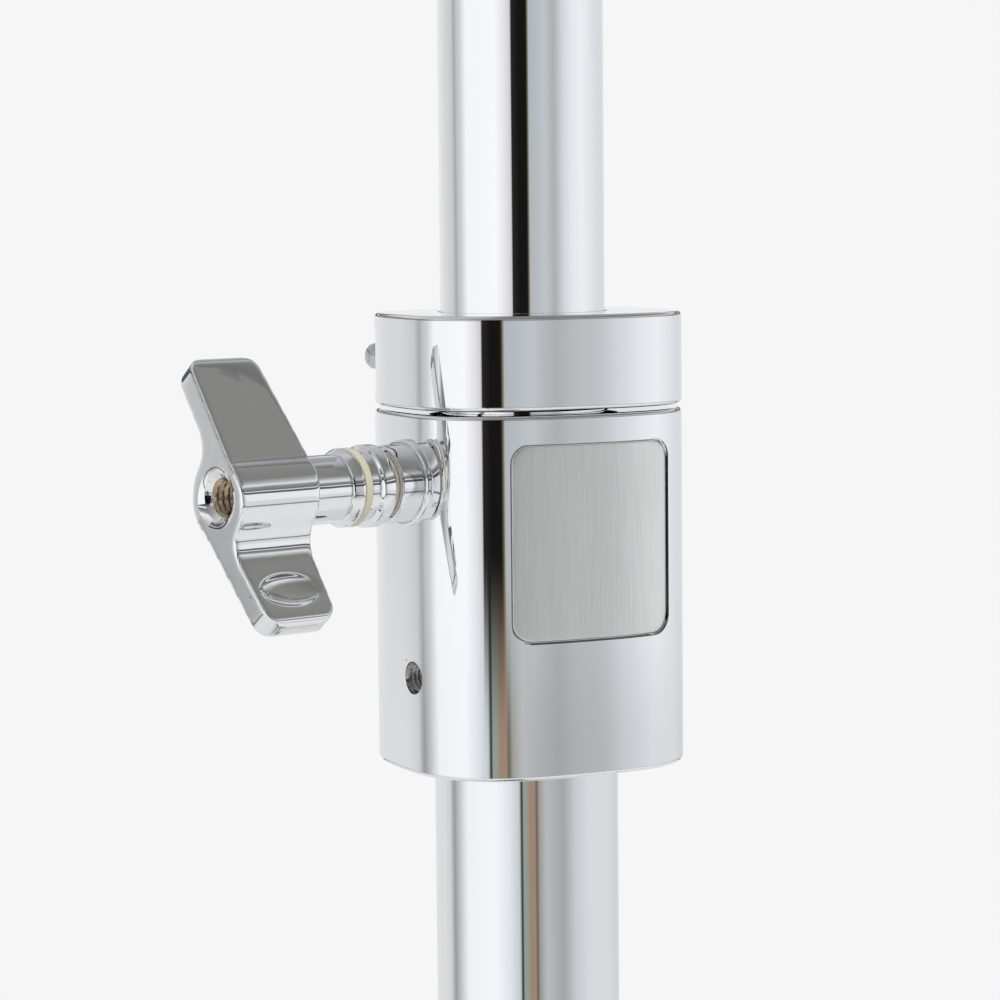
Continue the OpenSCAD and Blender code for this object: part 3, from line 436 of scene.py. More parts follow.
# %% [markdown]
# ## The other finishes
# They all follow one recipe. A noise mixes two shades, a second one changes the roughness a little
# and a third one gives the grain. Zinc is cloudy, the chain is dark with oil, and the badge and the
# castings are brushed one way, which is noise stretched along the strokes. Nylon, rubber and felt
# are matt, so their detail is in the grain: a faint mould texture on the nylon, a chalky bloom on
# the rubber, and a fibre fuzz with lighter hairs on the felt.

# %% Metals without a mirror


def noisy(name, colour, metallic, roughness, tint, rough=None, bumps=(), **more):
    """Each step is a noise (scale, detail, stretch) and then two shades, two values or a depth."""
    finish = Finish(name, colour, metallic, roughness, **more)
    finish.tint(finish.noise(*tint[0]), *tint[1:])
    if rough:
        finish.rough(finish.noise(*rough[0]), *rough[1:])
    for noise, *relief in bumps:
        finish.bump(finish.noise(*noise), *relief)
    return finish.material


BRUSHED = (1.0, 4.0, (5200, 5200, 90))
BADGE_METAL = noisy(
    "brushed_badge", (0.84, 0.84, 0.83), 1.0, 0.36,
    (BRUSHED, (0.8, 0.8, 0.785), (0.89, 0.89, 0.88), 0.3, 0.7),
    ((55, 2.0), 0.33, 0.42), [(BRUSHED, 0.004, 0.5)])
ZINC = noisy(
    "satin_zinc", (0.58, 0.59, 0.61), 1.0, 0.3,
    ((120, 4.0), (0.5, 0.51, 0.54), (0.66, 0.66, 0.64)),
    ((700, 2.0), 0.24, 0.38), [((1500, 2.0), 0.01)])
CHAIN_STEEL = noisy(
    "oiled_chain", (0.4, 0.4, 0.39), 1.0, 0.3,
    ((260, 4.0), (0.27, 0.26, 0.24), (0.5, 0.5, 0.49)),
    ((500, 2.0), 0.2, 0.42), [((1800, 2.0), 0.01)])
CAST_ALUMINIUM = noisy(
    "cast_aluminium", (0.72, 0.73, 0.74), 1.0, 0.26,
    ((40, 3.0), (0.68, 0.69, 0.7), (0.77, 0.78, 0.79)),
    ((300, 3.0), 0.18, 0.32), [((1.0, 3.0, (2600, 160, 160)), 0.006)])
WARM_THREAD = noisy(
    "warm_thread", (0.42, 0.32, 0.22), 1.0, 0.24,
    ((500, 3.0), (0.34, 0.25, 0.16), (0.52, 0.41, 0.3)), ((900, 2.0), 0.18, 0.32))
HOLE_THREAD = noisy(
    "hole_thread", (0.3, 0.29, 0.28), 1.0, 0.25,
    ((400, 3.0), (0.24, 0.23, 0.22), (0.38, 0.37, 0.35)), ((900, 2.0), 0.2, 0.34))
print("badge, zinc, chain, cast aluminium and thread")

# %% Nylon, rubber and felt
CREAM_NYLON = noisy(
    "cream_nylon", (0.78, 0.73, 0.58), 0.0, 0.34,
    ((90, 3.0), (0.7, 0.64, 0.48), (0.78, 0.73, 0.58)),
    ((600, 2.0), 0.28, 0.42), [((2200, 2.0), 0.008)])
BLACK_NYLON = noisy(
    "black_nylon", (0.03, 0.03, 0.032), 0.0, 0.42,
    ((90, 3.0), (0.018, 0.018, 0.02), (0.03, 0.03, 0.032)),
    ((600, 2.0), 0.36, 0.5), [((2200, 2.0), 0.008)])
RUBBER = noisy(
    "soft_rubber", (0.022, 0.022, 0.023), 0.0, 0.72,
    ((60, 4.0), (0.016, 0.016, 0.017), (0.038, 0.037, 0.036)),
    ((240, 3.0), 0.6, 0.85), [((1600, 3.0), 0.02)], Specular_IOR_Level=0.35)
FELT = noisy(
    "wool_felt", (0.22, 0.22, 0.225), 0.0, 0.95,
    ((420, 6.0), (0.13, 0.13, 0.135), (0.33, 0.33, 0.335)),
    bumps=[((900, 6.0), 0.25), ((140, 2.0), 0.3, 0.6)], Sheen_Weight=0.45, Sheen_Roughness=0.5)
print("nylon, rubber and felt")

# %% [markdown]
# ## Tools for round and cast forms
# Most pieces of the column are turned on a lathe: a profile is swept round an axis. The helper
# first gives the profile's corners a small radius, as turning and polishing do. Castings are lofted
# from an outline or cut with booleans, and then keep the same kind of soft edge.

# %% Outlines


def arc(centre, r, start, end, steps=10):
    turns = [math.radians(start + (end - start) * k / steps) for k in range(steps + 1)]
    return [(centre[0] + r * math.cos(a), centre[1] + r * math.sin(a)) for a in turns]


def between(start, end, steps):
    """Evenly spaced points from the start up to, but not at, the end."""
    (x0, y0), (x1, y1) = start, end
    return [(x0 + (x1 - x0) * k / steps, y0 + (y1 - y0) * k / steps) for k in range(steps)]


def box_line(inner, outer, low, high):
    return [(inner, low), (outer, low), (outer, high), (inner, high)]


def soft_corners(points, radius, steps=4, closed=True):
    """Replaces each corner of a 2-D line by a small arc."""
    count, out = len(points), []
    for i, point in enumerate(points):
        if not closed and i in (0, count - 1):
            out.append(tuple(point))
            continue
        here = Vector(point)
        to_last = Vector(points[i - 1]) - here
        to_next = Vector(points[(i + 1) % count]) - here
        reach = min(to_last.length, to_next.length) * 0.45
        a, b = to_last.normalized(), to_next.normalized()
        half = a.angle(b, 0) / 2
        if half > math.radians(84) or half < 1e-3:
            out.append(tuple(point))
            continue
        cut = min(reach, radius / math.tan(half))
        r = cut * math.tan(half)
        middle = here + (a + b).normalized() * (r / math.sin(half))
        start, end = here + a * cut - middle, here + b * cut - middle
        turn = start.angle_signed(end, 0)
        for k in range(steps + 1):
            angle = -turn * k / steps
            c, s = math.cos(angle), math.sin(angle)
            out.append((middle.x + start.x * c - start.y * s, middle.y + start.x * s + start.y * c))
    return out


print("outline helpers ready")

# %% Skins over rings of points
# Lathe work, castings, threads and bars are all rings of points with faces between them.


def opened(mesh):
    bm = bmesh.new()
    bm.from_mesh(mesh)
    return bm


def shade(mesh, sharp):
    """Shades a mesh smooth, except at edges over the sharp angle."""
    mesh.polygons.foreach_set("use_smooth", [True] * len(mesh.polygons))
    mesh.set_sharp_from_angle(angle=math.radians(sharp))


def mesh_piece(name, mesh, material, sharp=40.0):
    bm = opened(mesh)
    bmesh.ops.recalc_face_normals(bm, faces=bm.faces)
    settle(bm, mesh)
    mesh.materials.append(material)
    shade(mesh, sharp)
    return link(name, mesh)


def skin(name, rings, material, closed=True, caps=False, sharp=40.0):
    """A piece from rings of points in millimetres. A ring of one point is the middle of a fan."""
    count = max(len(ring) for ring in rings)
    points, numbers = [], []
    for ring in rings:
        numbers.append([len(points) + k % len(ring) for k in range(count)])
        points += [tuple(c * MM for c in p) for p in ring]
    faces = [tuple(numbers[0]), tuple(numbers[-1])] if caps else []
    for low, high in zip(numbers, numbers[1:] + numbers[:1] if closed else numbers[1:]):
        for k in range(count):
            n = (k + 1) % count
            corners = dict.fromkeys((low[k], low[n], high[n], high[k]))
            if len(corners) > 2:
                faces.append(tuple(corners))
    mesh = bpy.data.meshes.new(name)
    mesh.from_pydata(points, [], faces)
    return mesh_piece(name, mesh, material, sharp)


def circle(radii, h, place=Matrix()):
    """Points round Z at a height, each with its own radius."""
    turns = [2 * math.pi * k / len(radii) for k in range(len(radii))]
    return [place @ Vector((r * math.cos(a), r * math.sin(a), h)) for r, a in zip(radii, turns)]


print("skins ready")

# %% Lathe


def lathe(name, profile, material=CAST_CHROME, place=Matrix(), segments=160, radius=0.25,
          closed=True, sharp=40.0):
    """Turns a profile of (radius, height) points round Z, and then puts it at a place."""
    line = soft_corners(profile, radius, closed=closed) if radius else profile
    rings = [circle([r] * (segments if r > 1e-6 else 1), h, place) for r, h in line]
    return skin(name, rings, material, closed, sharp=sharp)


def rod(name, r, start, end, place=Matrix(), material=CAST_CHROME, segments=96, radius=0.0):
    """A plain round bar, or the tool that cuts a bore."""
    return lathe(name, box_line(0, r, start, end), material, place, segments, radius, closed=False)


def along_x(x=0.0, y=0.0, z=0.0, sign=1):
    """Turns a lathe's axis to lie along X (or against it)."""
    return at(x, y, z) @ turned(90 * sign, "Y")


BOLT_FRAME = at(z=BOLT_Z) @ turned(BOLT_TURN, "Z")
BOLT_LATHE = BOLT_FRAME @ turned(-90, "Y")
print("lathe ready")

# %% Booleans and joining


def as_mesh(piece):
    """Turns a piece with live modifiers into a plain mesh."""
    bpy.context.view_layer.update()
    view = bpy.context.evaluated_depsgraph_get()
    mesh = bpy.data.meshes.new_from_object(piece.evaluated_get(view))
    piece.modifiers.clear()
    old, piece.data = piece.data, mesh
    mesh.name = piece.name
    bpy.data.meshes.remove(old)
    return piece


def cut(piece, *tools, operation="DIFFERENCE"):
    for tool in tools:
        modifier = piece.modifiers.new("cut", "BOOLEAN")
        modifier.operation, modifier.solver, modifier.object = operation, "EXACT", tool
        as_mesh(piece)
        bpy.data.objects.remove(tool)
    return piece


def cleaned(piece, sharp):
    """Cleans a cut mesh and sets which of its edges are sharp."""
    bm = opened(piece.data)
    bmesh.ops.remove_doubles(bm, verts=bm.verts, dist=1e-6)
    bmesh.ops.dissolve_degenerate(bm, edges=bm.edges, dist=1e-6)
    shade(settle(bm, piece.data), sharp)
    return piece


def bevelled(piece, width, segments=2, angle=30.0):
    """Rounds every edge that is sharper than an angle."""
    bevel = piece.modifiers.new("edge", "BEVEL")
    bevel.width, bevel.segments = width * MM, segments
    bevel.limit_method, bevel.angle_limit = "ANGLE", math.radians(angle)
    return as_mesh(piece)


def join(pieces, name):
    """Makes one object of several, keeping their materials and sharp edges."""
    bm = bmesh.new()
    materials = list(dict.fromkeys(piece.data.materials[0] for piece in pieces))
    for piece in pieces:
        start = len(bm.faces)
        bm.from_mesh(piece.data)
        bm.faces.ensure_lookup_table()
        for face in bm.faces[start:]:
            face.material_index = materials.index(piece.data.materials[0])
    joined = link(name, settle(bm, name))
    for material in materials:
        joined.data.materials.append(material)
    for piece in pieces:
        bpy.data.objects.remove(piece)
    return joined


print("booleans ready")

# %% Putting pieces over their solids


def add_to(piece, node):
    """A detail that goes with a solid. Its wide faces decide the shading of its rounded edges."""
    weighted = piece.modifiers.new("normals", "WEIGHTED_NORMAL")
    weighted.keep_sharp, weighted.weight = True, 100
    as_mesh(piece)
    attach(piece, body_of[node])
    return piece


def dress(piece, node):
    """A finished piece that stands for its solid."""
    add_to(piece, node)
    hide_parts(node)
    return piece


print("dressing ready")

# %% [markdown]
# ## The two tubes
# A tube is the simplest turned part. What counts is the number of faces round it: at this
# distance a tube of 32 sides shows its corners in every reflection, and one of 256 doesn't. The
# rims are rolled a little.

# %% Tubes
LOWER_TUBE_Z = 155.0
UPPER_TUBE_Z = 310.0
TUBE_TOP_Z = 840.0


def tube_piece(name, inner, outer, low, high):
    return lathe(name, box_line(inner, outer, low, high), TUBE_CHROME, segments=256, radius=0.35)


lower_tube = dress(tube_piece("lower_column_tube", LOWER_BORE_R, LOWER_TUBE_R, LOWER_TUBE_Z,
                              CLAMP_Z + TUBE_SEAT_DEPTH), "lower_tube")
upper_tube = dress(tube_piece("upper_column_tube", UPPER_BORE_R, UPPER_TUBE_R, UPPER_TUBE_Z,
                              TUBE_TOP_Z), "upper_tube")
print("tubes", len(lower_tube.data.polygons), "and", len(upper_tube.data.polygons), "faces")

# %% [markdown]
# ## The clamp body and the memory lock
# Both are castings with one outline, an oval that is fuller than an ellipse. A superellipse gives
# exactly that from one number. The body is lofted: the outline climbs the wall, rolls over the
# rim, crosses the top face to the bore and comes back down inside. Then the recess for the badge,
# the bolt bore and the small threaded hole are cut.

# %% Outline of the clamp
OUTLINE_POINTS = 420
BORE_CHAMFER = 0.4
SLIP = 0.05


def oval(inset):
    """Evenly spaced points on the clamp's outline, drawn in by inset."""
    t = np.linspace(0, 2 * np.pi, 6001)
    c, s = np.cos(t), np.sin(t)
    power = 2 / CLAMP_ROUNDNESS
    x = (CLAMP_HALF_X - inset) * np.sign(c) * np.abs(c) ** power
    y = (CLAMP_HALF_Y - inset) * np.sign(s) * np.abs(s) ** power - CLAMP_SHIFT
    run = np.concatenate([[0], np.cumsum(np.hypot(np.diff(x), np.diff(y)))])
    even = np.linspace(0, run[-1], OUTLINE_POINTS, endpoint=False)
    return np.interp(even, run, x), np.interp(even, run, y)


def front_y(x, inset):
    """Depth of the front face at a distance x from the middle."""
    share = np.clip(np.abs(x) / (CLAMP_HALF_X - inset), 0, 1)
    depth = (1 - share ** CLAMP_ROUNDNESS) ** (1 / CLAMP_ROUNDNESS)
    return float(-CLAMP_SHIFT - (CLAMP_HALF_Y - inset) * depth)


def oval_block(name, z0, z1, bore_r):
    """Oval casting with a round bore, rolled rims and a small chamfer at the bore."""
    roll = [(RIM * (1 - s), RIM * (1 - c)) for c, s in arc((0, 0), 1, 0, 90, 5)]
    walls = [(inset, z0 + rise) for inset, rise in roll]
    walls += [(inset, z1 - rise) for inset, rise in reversed(roll)]
    rings = [list(zip(*oval(inset), [z] * OUTLINE_POINTS)) for inset, z in walls]
    base_x, base_y = oval(0)
    angles = np.arctan2(base_y, base_x)
    for wider, z in ((BORE_CHAMFER, z1), (0, z1 - BORE_CHAMFER), (0, z0 + BORE_CHAMFER),
                     (BORE_CHAMFER, z0)):
        r = bore_r + wider
        rings.append(list(zip(r * np.cos(angles), r * np.sin(angles), [z] * OUTLINE_POINTS)))
    return skin(name, rings, CAST_CHROME)


print("outline", round(2 * CLAMP_HALF_X, 1), "by", round(2 * CLAMP_HALF_Y, 1), "mm")

# %% [markdown]
# ## The badge and its recess
# The badge is a thin plate that follows the curve of the casting. A fan of rounded rectangles, each
# a little smaller than the last, covers it evenly, and each point is then pushed back to the
# curved face. The same fan, made deeper, is the tool that cuts the recess.

# %% Badge plate
BADGE_W = 26.5
BADGE_H = 29.4
BADGE_DROP = 4.4
BADGE_SHIFT = 1.55
BADGE_CORNER = 2.8
BADGE_RECESS = 1.0
BADGE_GAP = 0.3
BADGE_MIDDLE_Z = CLAMP_TOP - BADGE_DROP - BADGE_H / 2


def rounded_rectangle(w, h, r, per_corner=14, per_side=16):
    x, y = w / 2 - r, h / 2 - r
    middles = ((x, y), (-x, y), (-x, -y), (x, -y))
    corners = [arc(middle, r, 90 * i, 90 * i + 90, per_corner) for i, middle in enumerate(middles)]
    points = []
    for here, after in zip(corners, corners[1:] + corners[:1]):
        points += here[:-1] + between(here[-1], after[0], per_side)
    return points


def curved_plate(name, margin, front, back, edge, material):
    """Plate that follows the clamp's face, from one inset to another, with a rolled front edge."""
    w = BADGE_W + 2 * margin
    outline = rounded_rectangle(w, BADGE_H + 2 * margin, BADGE_CORNER + margin)
    fan = [k / 12 for k in range(12)]
    layers = [(scale, 0.0, front) for scale in fan]
    layers += [(1.0, edge * (1 - s), front + edge * (1 - c)) for c, s in arc((0, 0), 1, 0, 90, 4)]
    layers += [(scale, 0.0, back) for scale in (1.0, *reversed(fan))]
    rings = []
    for scale, draw_in, inset in layers:
        share = scale * (1 - 2 * draw_in / w)
        ring = [(BADGE_SHIFT + x * share, z * share) for x, z in (outline if scale else [(0, 0)])]
        rings.append([(x, front_y(x, inset), BADGE_MIDDLE_Z + z) for x, z in ring])
    return skin(name, rings, material, closed=False)


badge = curved_plate("badge_plate", margin=0.0, front=BADGE_GAP, back=BADGE_RECESS - 0.05,
                     edge=0.3, material=BADGE_METAL)
dress(badge, "clamp_badge")
print("badge", BADGE_W, "by", BADGE_H, "mm,", len(badge.data.polygons), "faces")

# %% Clamp body
BOSS_R = 6.5
BOSS_START = 15.6
BOSS_REACH = 24.3
LOCK_HOLE_R = 2.5
LOCK_HOLE_TURN = 198.0
LOCK_HOLE_H = 14.7
LOCK_HOLE_MOUTH = 23.38
LOCK_HOLE_FRAME = at(z=CLAMP_Z + LOCK_HOLE_H) @ turned(LOCK_HOLE_TURN, "Z") @ turned(90, "Y")
POCKET_R = 16.4
POCKET_HALF = 5.0
BORE_R = BOLT_R + 0.05


def clamp_casting():
    body = oval_block("clamp_casting", CLAMP_Z, CLAMP_TOP, LOWER_TUBE_R + SLIP)
    boss = rod("boss", BOSS_R, BOSS_START, BOSS_REACH, BOLT_LATHE, segments=128, radius=0.5)
    cut(body, boss, operation="UNION")
    pocket = rod("pocket", POCKET_R, BOLT_Z - POCKET_HALF, BOLT_Z + POCKET_HALF, segments=128)
    bolt_bore = lathe("bolt_bore", [
        (0, 10), (BORE_R, 10), (BORE_R, BOSS_REACH - 0.4), (BOLT_R + 0.5, BOSS_REACH + 0.1),
        (0, BOSS_REACH + 0.1)], place=BOLT_LATHE, segments=96, radius=0, closed=False)
    lock_hole = rod("lock_hole", LOCK_HOLE_R, 13, LOCK_HOLE_MOUTH + 2, LOCK_HOLE_FRAME)
    recess = curved_plate("recess", margin=BADGE_GAP, front=-1.5, back=BADGE_RECESS, edge=0.01,
                          material=CAST_CHROME)
    cut(body, pocket, bolt_bore, lock_hole, recess)
    return cleaned(body, 35.0)


clamp_body = dress(clamp_casting(), "clamp_body")
print("clamp casting", len(clamp_body.data.polygons), "faces")

# %% [markdown]
# ## Threads
# A thread seen in a hole is a wall whose radius goes up and down as it winds along. A grid of
# points round and along the bore, with its radius taken from a zigzag of the winding, gives a true
# helix without modelling a swept profile.

# %% Threaded walls


def threaded_wall(name, low_r, high_r, pitch, start, end, lead_in, material, place):
    """Threaded sleeve: helical inside, with a cone at its mouth, and plain outside."""
    around, along = 72, 10
    steps = max(2, int(round((end - start) / pitch * along)))
    crest = high_r - 0.02
    rings = [circle([high_r] * around, start, place)]
    for i in range(steps + 1):
        h = start + (end - lead_in - start) * i / steps
        depth = (crest - low_r) * min(1.0, i / along)
        waves = [abs(((h / pitch - k / around) % 1.0) * 2 - 1) for k in range(around)]
        rings.append(circle([crest - depth * wave for wave in waves], h, place))
    rings += [circle([r] * around, end, place) for r in (high_r - 0.04, high_r)]
    return skin(name, rings, material, sharp=50.0)


lock_thread = threaded_wall(
    "lock_hole_thread", low_r=1.98, high_r=LOCK_HOLE_R - 0.005, pitch=0.8, start=BOSS_START,
    end=LOCK_HOLE_MOUTH - 0.7, lead_in=0.5, material=HOLE_THREAD, place=LOCK_HOLE_FRAME)
add_to(lock_thread, "clamp_body")
print("thread of the lock hole", len(lock_thread.data.polygons), "faces")

# %% Memory lock
LOCK_SLOT = 2.0
LOCK_SCREW_Y = 15.4
LOCK_SCREW_R = 2.1
LOCK_SCREW_X = 19.8
LOCK_NOTCH_Y = 7.2
LOCK_NOTCH_X = 11.5
LOCK_MIDDLE_Z = LOCK_Z + LOCK_H / 2
NOTCH_HALF = 5.0


def block(name, low, high, material=CAST_CHROME):
    bm = bmesh.new()
    bmesh.ops.create_cube(bm, size=1.0)
    low, high = Vector(low) * MM, Vector(high) * MM
    for v in bm.verts:
        v.co = (low + high) / 2 + v.co * (high - low)
    return mesh_piece(name, settle(bm, name), material)


def memory_lock():
    lock = oval_block("memory_lock_collar", LOCK_Z, LOCK_Z + LOCK_H, UPPER_TUBE_R + SLIP)
    slot = block("slot", (-LOCK_SLOT / 2, UPPER_TUBE_R - 2, LOCK_Z - 1),
                 (LOCK_SLOT / 2, 25, LOCK_Z + LOCK_H + 1))
    screw_bore = rod("screw_bore", LOCK_SCREW_R + SLIP, -LOCK_SCREW_X, LOCK_SCREW_X,
                     along_x(0, LOCK_SCREW_Y, LOCK_MIDDLE_Z), segments=48)
    low, high = LOCK_MIDDLE_Z - NOTCH_HALF, LOCK_MIDDLE_Z + NOTCH_HALF
    left = block("left", (-30, LOCK_NOTCH_Y, low), (-LOCK_NOTCH_X, 25, high))
    right = block("right", (LOCK_NOTCH_X, LOCK_NOTCH_Y, low), (30, 25, high))
    cut(lock, slot, screw_bore, left, right)
    return cleaned(lock, 35.0)


def lock_screw():
    r, reach, root = LOCK_SCREW_R, LOCK_SCREW_X, -LOCK_NOTCH_X - 1
    head = [(0, reach), (r * 0.55, reach - 0.25), (r * 0.88, reach - 0.9), (r, reach - 1.9),
            (r, root), (0, root)]
    pin = lathe("lock_pin", head, ZINC, along_x(0, LOCK_SCREW_Y, LOCK_MIDDLE_Z, -1), segments=48,
                radius=0.3, closed=False)
    nut = block("lock_nut", (LOCK_NOTCH_X + 0.05, LOCK_SCREW_Y - r, LOCK_MIDDLE_Z - r),
                (LOCK_NOTCH_X + 4.5, LOCK_SCREW_Y + r, LOCK_MIDDLE_Z + r), ZINC)
    return join([pin, bevelled(nut, 0.25)], "memory_lock_pinch_screw")


lock = dress(memory_lock(), "memory_lock")
dress(lock_screw(), "memory_lock_screw")
print("memory lock", len(lock.data.polygons), "faces")

# %% [markdown]
# ## The washers on the clamp bolt
# Between the casting and the wing nut sits a stack of small turned parts: a plain bushing, a nylon
# washer, a stepped flange, a second nylon washer and a domed washer. Each is a lathe profile along
# the bolt. Nylon against chrome is what makes the stack readable.

# %% Washers
BUSHING_END = BOSS_REACH + 4.05
NYLON_END = BUSHING_END + 1.3
FLANGE_LEN = 4.25
BUSHING_R, FIRST_NYLON_R, FLANGE_R, FLANGE_NECK_R = 5.85, 5.0, 6.2, 5.35
SECOND_NYLON_R, DOME_R, DOME_TOP_R = 5.9, 5.9, 5.2
FLANGE_STEP = NYLON_END + 0.55 * FLANGE_LEN
FLANGE_END = NYLON_END + FLANGE_LEN
SECOND_NYLON_END = FLANGE_END + 1.3
DOME_END = SECOND_NYLON_END + 2.0


def washer(name, rim, material=PLATED_CHROME, radius=0.3):
    """Ring on the clamp bolt, from the points of its outer side."""
    line = [(BORE_R, rim[0][1]), *rim, (BORE_R, rim[-1][1])]
    return lathe(name, line, material, BOLT_LATHE, segments=144, radius=radius)


dress(washer("bolt_bushing_ring", [(BUSHING_R, BOSS_REACH), (BUSHING_R, BUSHING_END)]),
      "bolt_bushing")
dress(join([
    washer("nylon_a", [(FIRST_NYLON_R, BUSHING_END), (FIRST_NYLON_R, NYLON_END)], CREAM_NYLON, 0.2),
    washer("nylon_b", [(SECOND_NYLON_R, FLANGE_END), (SECOND_NYLON_R, SECOND_NYLON_END)],
           CREAM_NYLON)], "nylon_rings"), "nylon_washers")
dress(washer("stepped_flange", [
    (FLANGE_R, NYLON_END), (FLANGE_R, FLANGE_STEP - 0.1), (FLANGE_NECK_R, FLANGE_STEP + 0.3),
    (FLANGE_NECK_R, FLANGE_END)], radius=0.45), "flange_washer")
dress(washer("dome_ring", [
    (DOME_R, SECOND_NYLON_END), (DOME_R, SECOND_NYLON_END + 0.7), (DOME_TOP_R, DOME_END)],
    radius=0.7), "domed_washer")
print("stack ends", round(DOME_END, 2), "mm from the column")

# %% [markdown]
# ## Wing nuts
# A wing nut of this kind is a hub with two flat wings that are set off to opposite sides, so that
# a thumb pushes on one and a finger on the other. Its section is drawn once and extruded along the
# bolt, and a side view trims the tips. A remesh and a smoothing then melt the parts into one soft
# casting, which is how the edges of a polished die casting look.

# %% Form of a wing nut


def wing_section(hub_r, reach, near, thick, fillet):
    """The outline seen along the bolt: wing, hollow fillet, hub, and the same turned half round."""
    far = near + thick
    fillet_y = near - fillet
    fillet_x = math.sqrt((hub_r + fillet) ** 2 - fillet_y ** 2)
    meet = math.degrees(math.atan2(fillet_y, fillet_x))
    outer = math.degrees(math.acos(min(1, far / hub_r)))
    wing = [(fillet_x, near), (reach, near), (reach, far), (0, far)]
    half = arc((fillet_x, fillet_y), fillet, 180 + meet, 90)
    half += soft_corners(wing, thick * 0.3, closed=False)[1:-1]
    half += arc((0, 0), hub_r, 90 - outer, 180 + meet)[:-1]
    return half + [(-x, -y) for x, y in half]


def side_view(reach, root_w, tip_w, corner):
    right = [(0, root_w / 2)] + arc((reach - corner, tip_w / 2 - corner), corner, 90, 0)
    right += arc((reach - corner, -tip_w / 2 + corner), corner, 0, -90) + [(0, -root_w / 2)]
    return right + [(-x, -y) for x, y in right if abs(x) > 1e-9]


def prism(name, outline, ends, turn, material=HAND_CHROME):
    """Extrudes a 2-D outline, with a function that says where a point of it goes."""
    rings = [[turn(x, y, end) for x, y in outline] for end in ends]
    return skin(name, rings, material, closed=False, caps=True)


def ball(name, centre, radii):
    bm = bmesh.new()
    bmesh.ops.create_uvsphere(bm, u_segments=48, v_segments=32, radius=1.0)
    for v in bm.verts:
        v.co = (Vector(centre) + v.co * Vector(radii)) * MM
    return mesh_piece(name, settle(bm, name), HAND_CHROME)


TIP_SHARE = 0.85
DIMPLE_SINK = 0.45
DIMPLE_FROM_TIP = 5.6
SMOOTHINGS = 26


def wing_form(name, sizes, place, corner, voxel, dimple=None):
    """Wing casting round the X axis, softened, and then put at its place in millimetres."""
    width, hub_r, reach, near, thick, fillet = sizes
    form = prism(name, wing_section(hub_r, reach, near, thick, fillet), (-width / 2, width / 2),
                 lambda x, y, end: (end, -y, x))
    trim = prism("trim", side_view(reach, width, TIP_SHARE * width, corner), (-reach, reach),
                 lambda x, y, end: (y, end, x))
    cut(form, trim, operation="INTERSECT")
    if dimple:
        for side in (1, -1):
            centre = (0, -side * (near - DIMPLE_SINK), side * (reach - DIMPLE_FROM_TIP))
            cut(form, ball("dimple", centre, dimple))
    melt = form.modifiers.new("melt", "REMESH")
    melt.mode, melt.voxel_size = "VOXEL", voxel * MM
    soften = form.modifiers.new("soften", "SMOOTH")
    soften.factor, soften.iterations = 0.5, SMOOTHINGS
    as_mesh(form)
    form.data.transform(Matrix.Translation(place.translation * MM) @ place.to_3x3().to_4x4())
    return form


print("wing form ready")

# %% The clamp's wing nut
# The sizes of a wing are its width, the hub's radius, the reach, the near side of the wing, its
# thickness and the fillet between wing and hub.
CLAMP_WING = (14.4, 6.4, 20.8, 1.9, 4.2, 4.5)
DIMPLE = (5.8, 1.35, 3.1)
WING_LEAN = -39.0
NECK_R = 5.1
NECK_END = DOME_END + 6.5
HUB_END = NECK_END + CLAMP_WING[0]


def clamp_wing_nut():
    place = BOLT_FRAME @ at(-(NECK_END + CLAMP_WING[0] / 2)) @ turned(WING_LEAN, "X")
    nut = wing_form("wing_nut_casting", CLAMP_WING, place, corner=3.0, voxel=0.2, dimple=DIMPLE)
    neck = rod("neck", NECK_R, DOME_END, NECK_END + 3, BOLT_LATHE, HAND_CHROME, segments=128,
               radius=0.35)
    cut(nut, neck, operation="UNION")
    bore = lathe("bore", [
        (0, DOME_END - 1), (BORE_R, DOME_END - 1), (BORE_R, HUB_END - 1.45), (3.45, HUB_END - 0.85),
        (3.6, HUB_END - 0.62), (4.7, HUB_END - 0.12), (4.95, HUB_END + 0.1), (4.95, HUB_END + 1),
        (0, HUB_END + 1)], HAND_CHROME, BOLT_LATHE, segments=128, radius=0, closed=False)
    return cleaned(cut(nut, bore), 32.0)


wing_nut = dress(clamp_wing_nut(), "wing_nut")
wing_thread = threaded_wall(
    "wing_nut_thread", low_r=2.3, high_r=BORE_R - 0.005, pitch=1.0, start=HUB_END - 6.2,
    end=HUB_END - 1.5, lead_in=0.3, material=WARM_THREAD, place=BOLT_LATHE)
add_to(wing_thread, "wing_nut")
print("wing nut", len(wing_nut.data.polygons), "faces, hub ends", round(HUB_END, 2), "mm out")

# %% [markdown]
# ## Solids that are right as they are
# Plates, lugs and rods need no new form, only the soft edge that pressing, casting and plating
# leave. A copy of the solid has its loose triangles merged and its flat faces joined, and then a
# narrow bevel goes along each hard edge. The solid itself isn't touched.

# %% Soft edges for plain solids


def soft_edged(node, width, material, segments):
    bm = opened(frame["nodes"][node].data)
    bmesh.ops.remove_doubles(bm, verts=bm.verts, dist=4e-6)
    bmesh.ops.dissolve_limit(bm, angle_limit=math.radians(1.0), verts=bm.verts, edges=bm.edges)
    name = node + "_finished"
    piece = link(name, settle(bm, name))
    piece.data.materials.append(material)
    bevelled(piece, width, segments, angle=35.0)
    shade(piece.data, 38)
    return dress(piece, node)


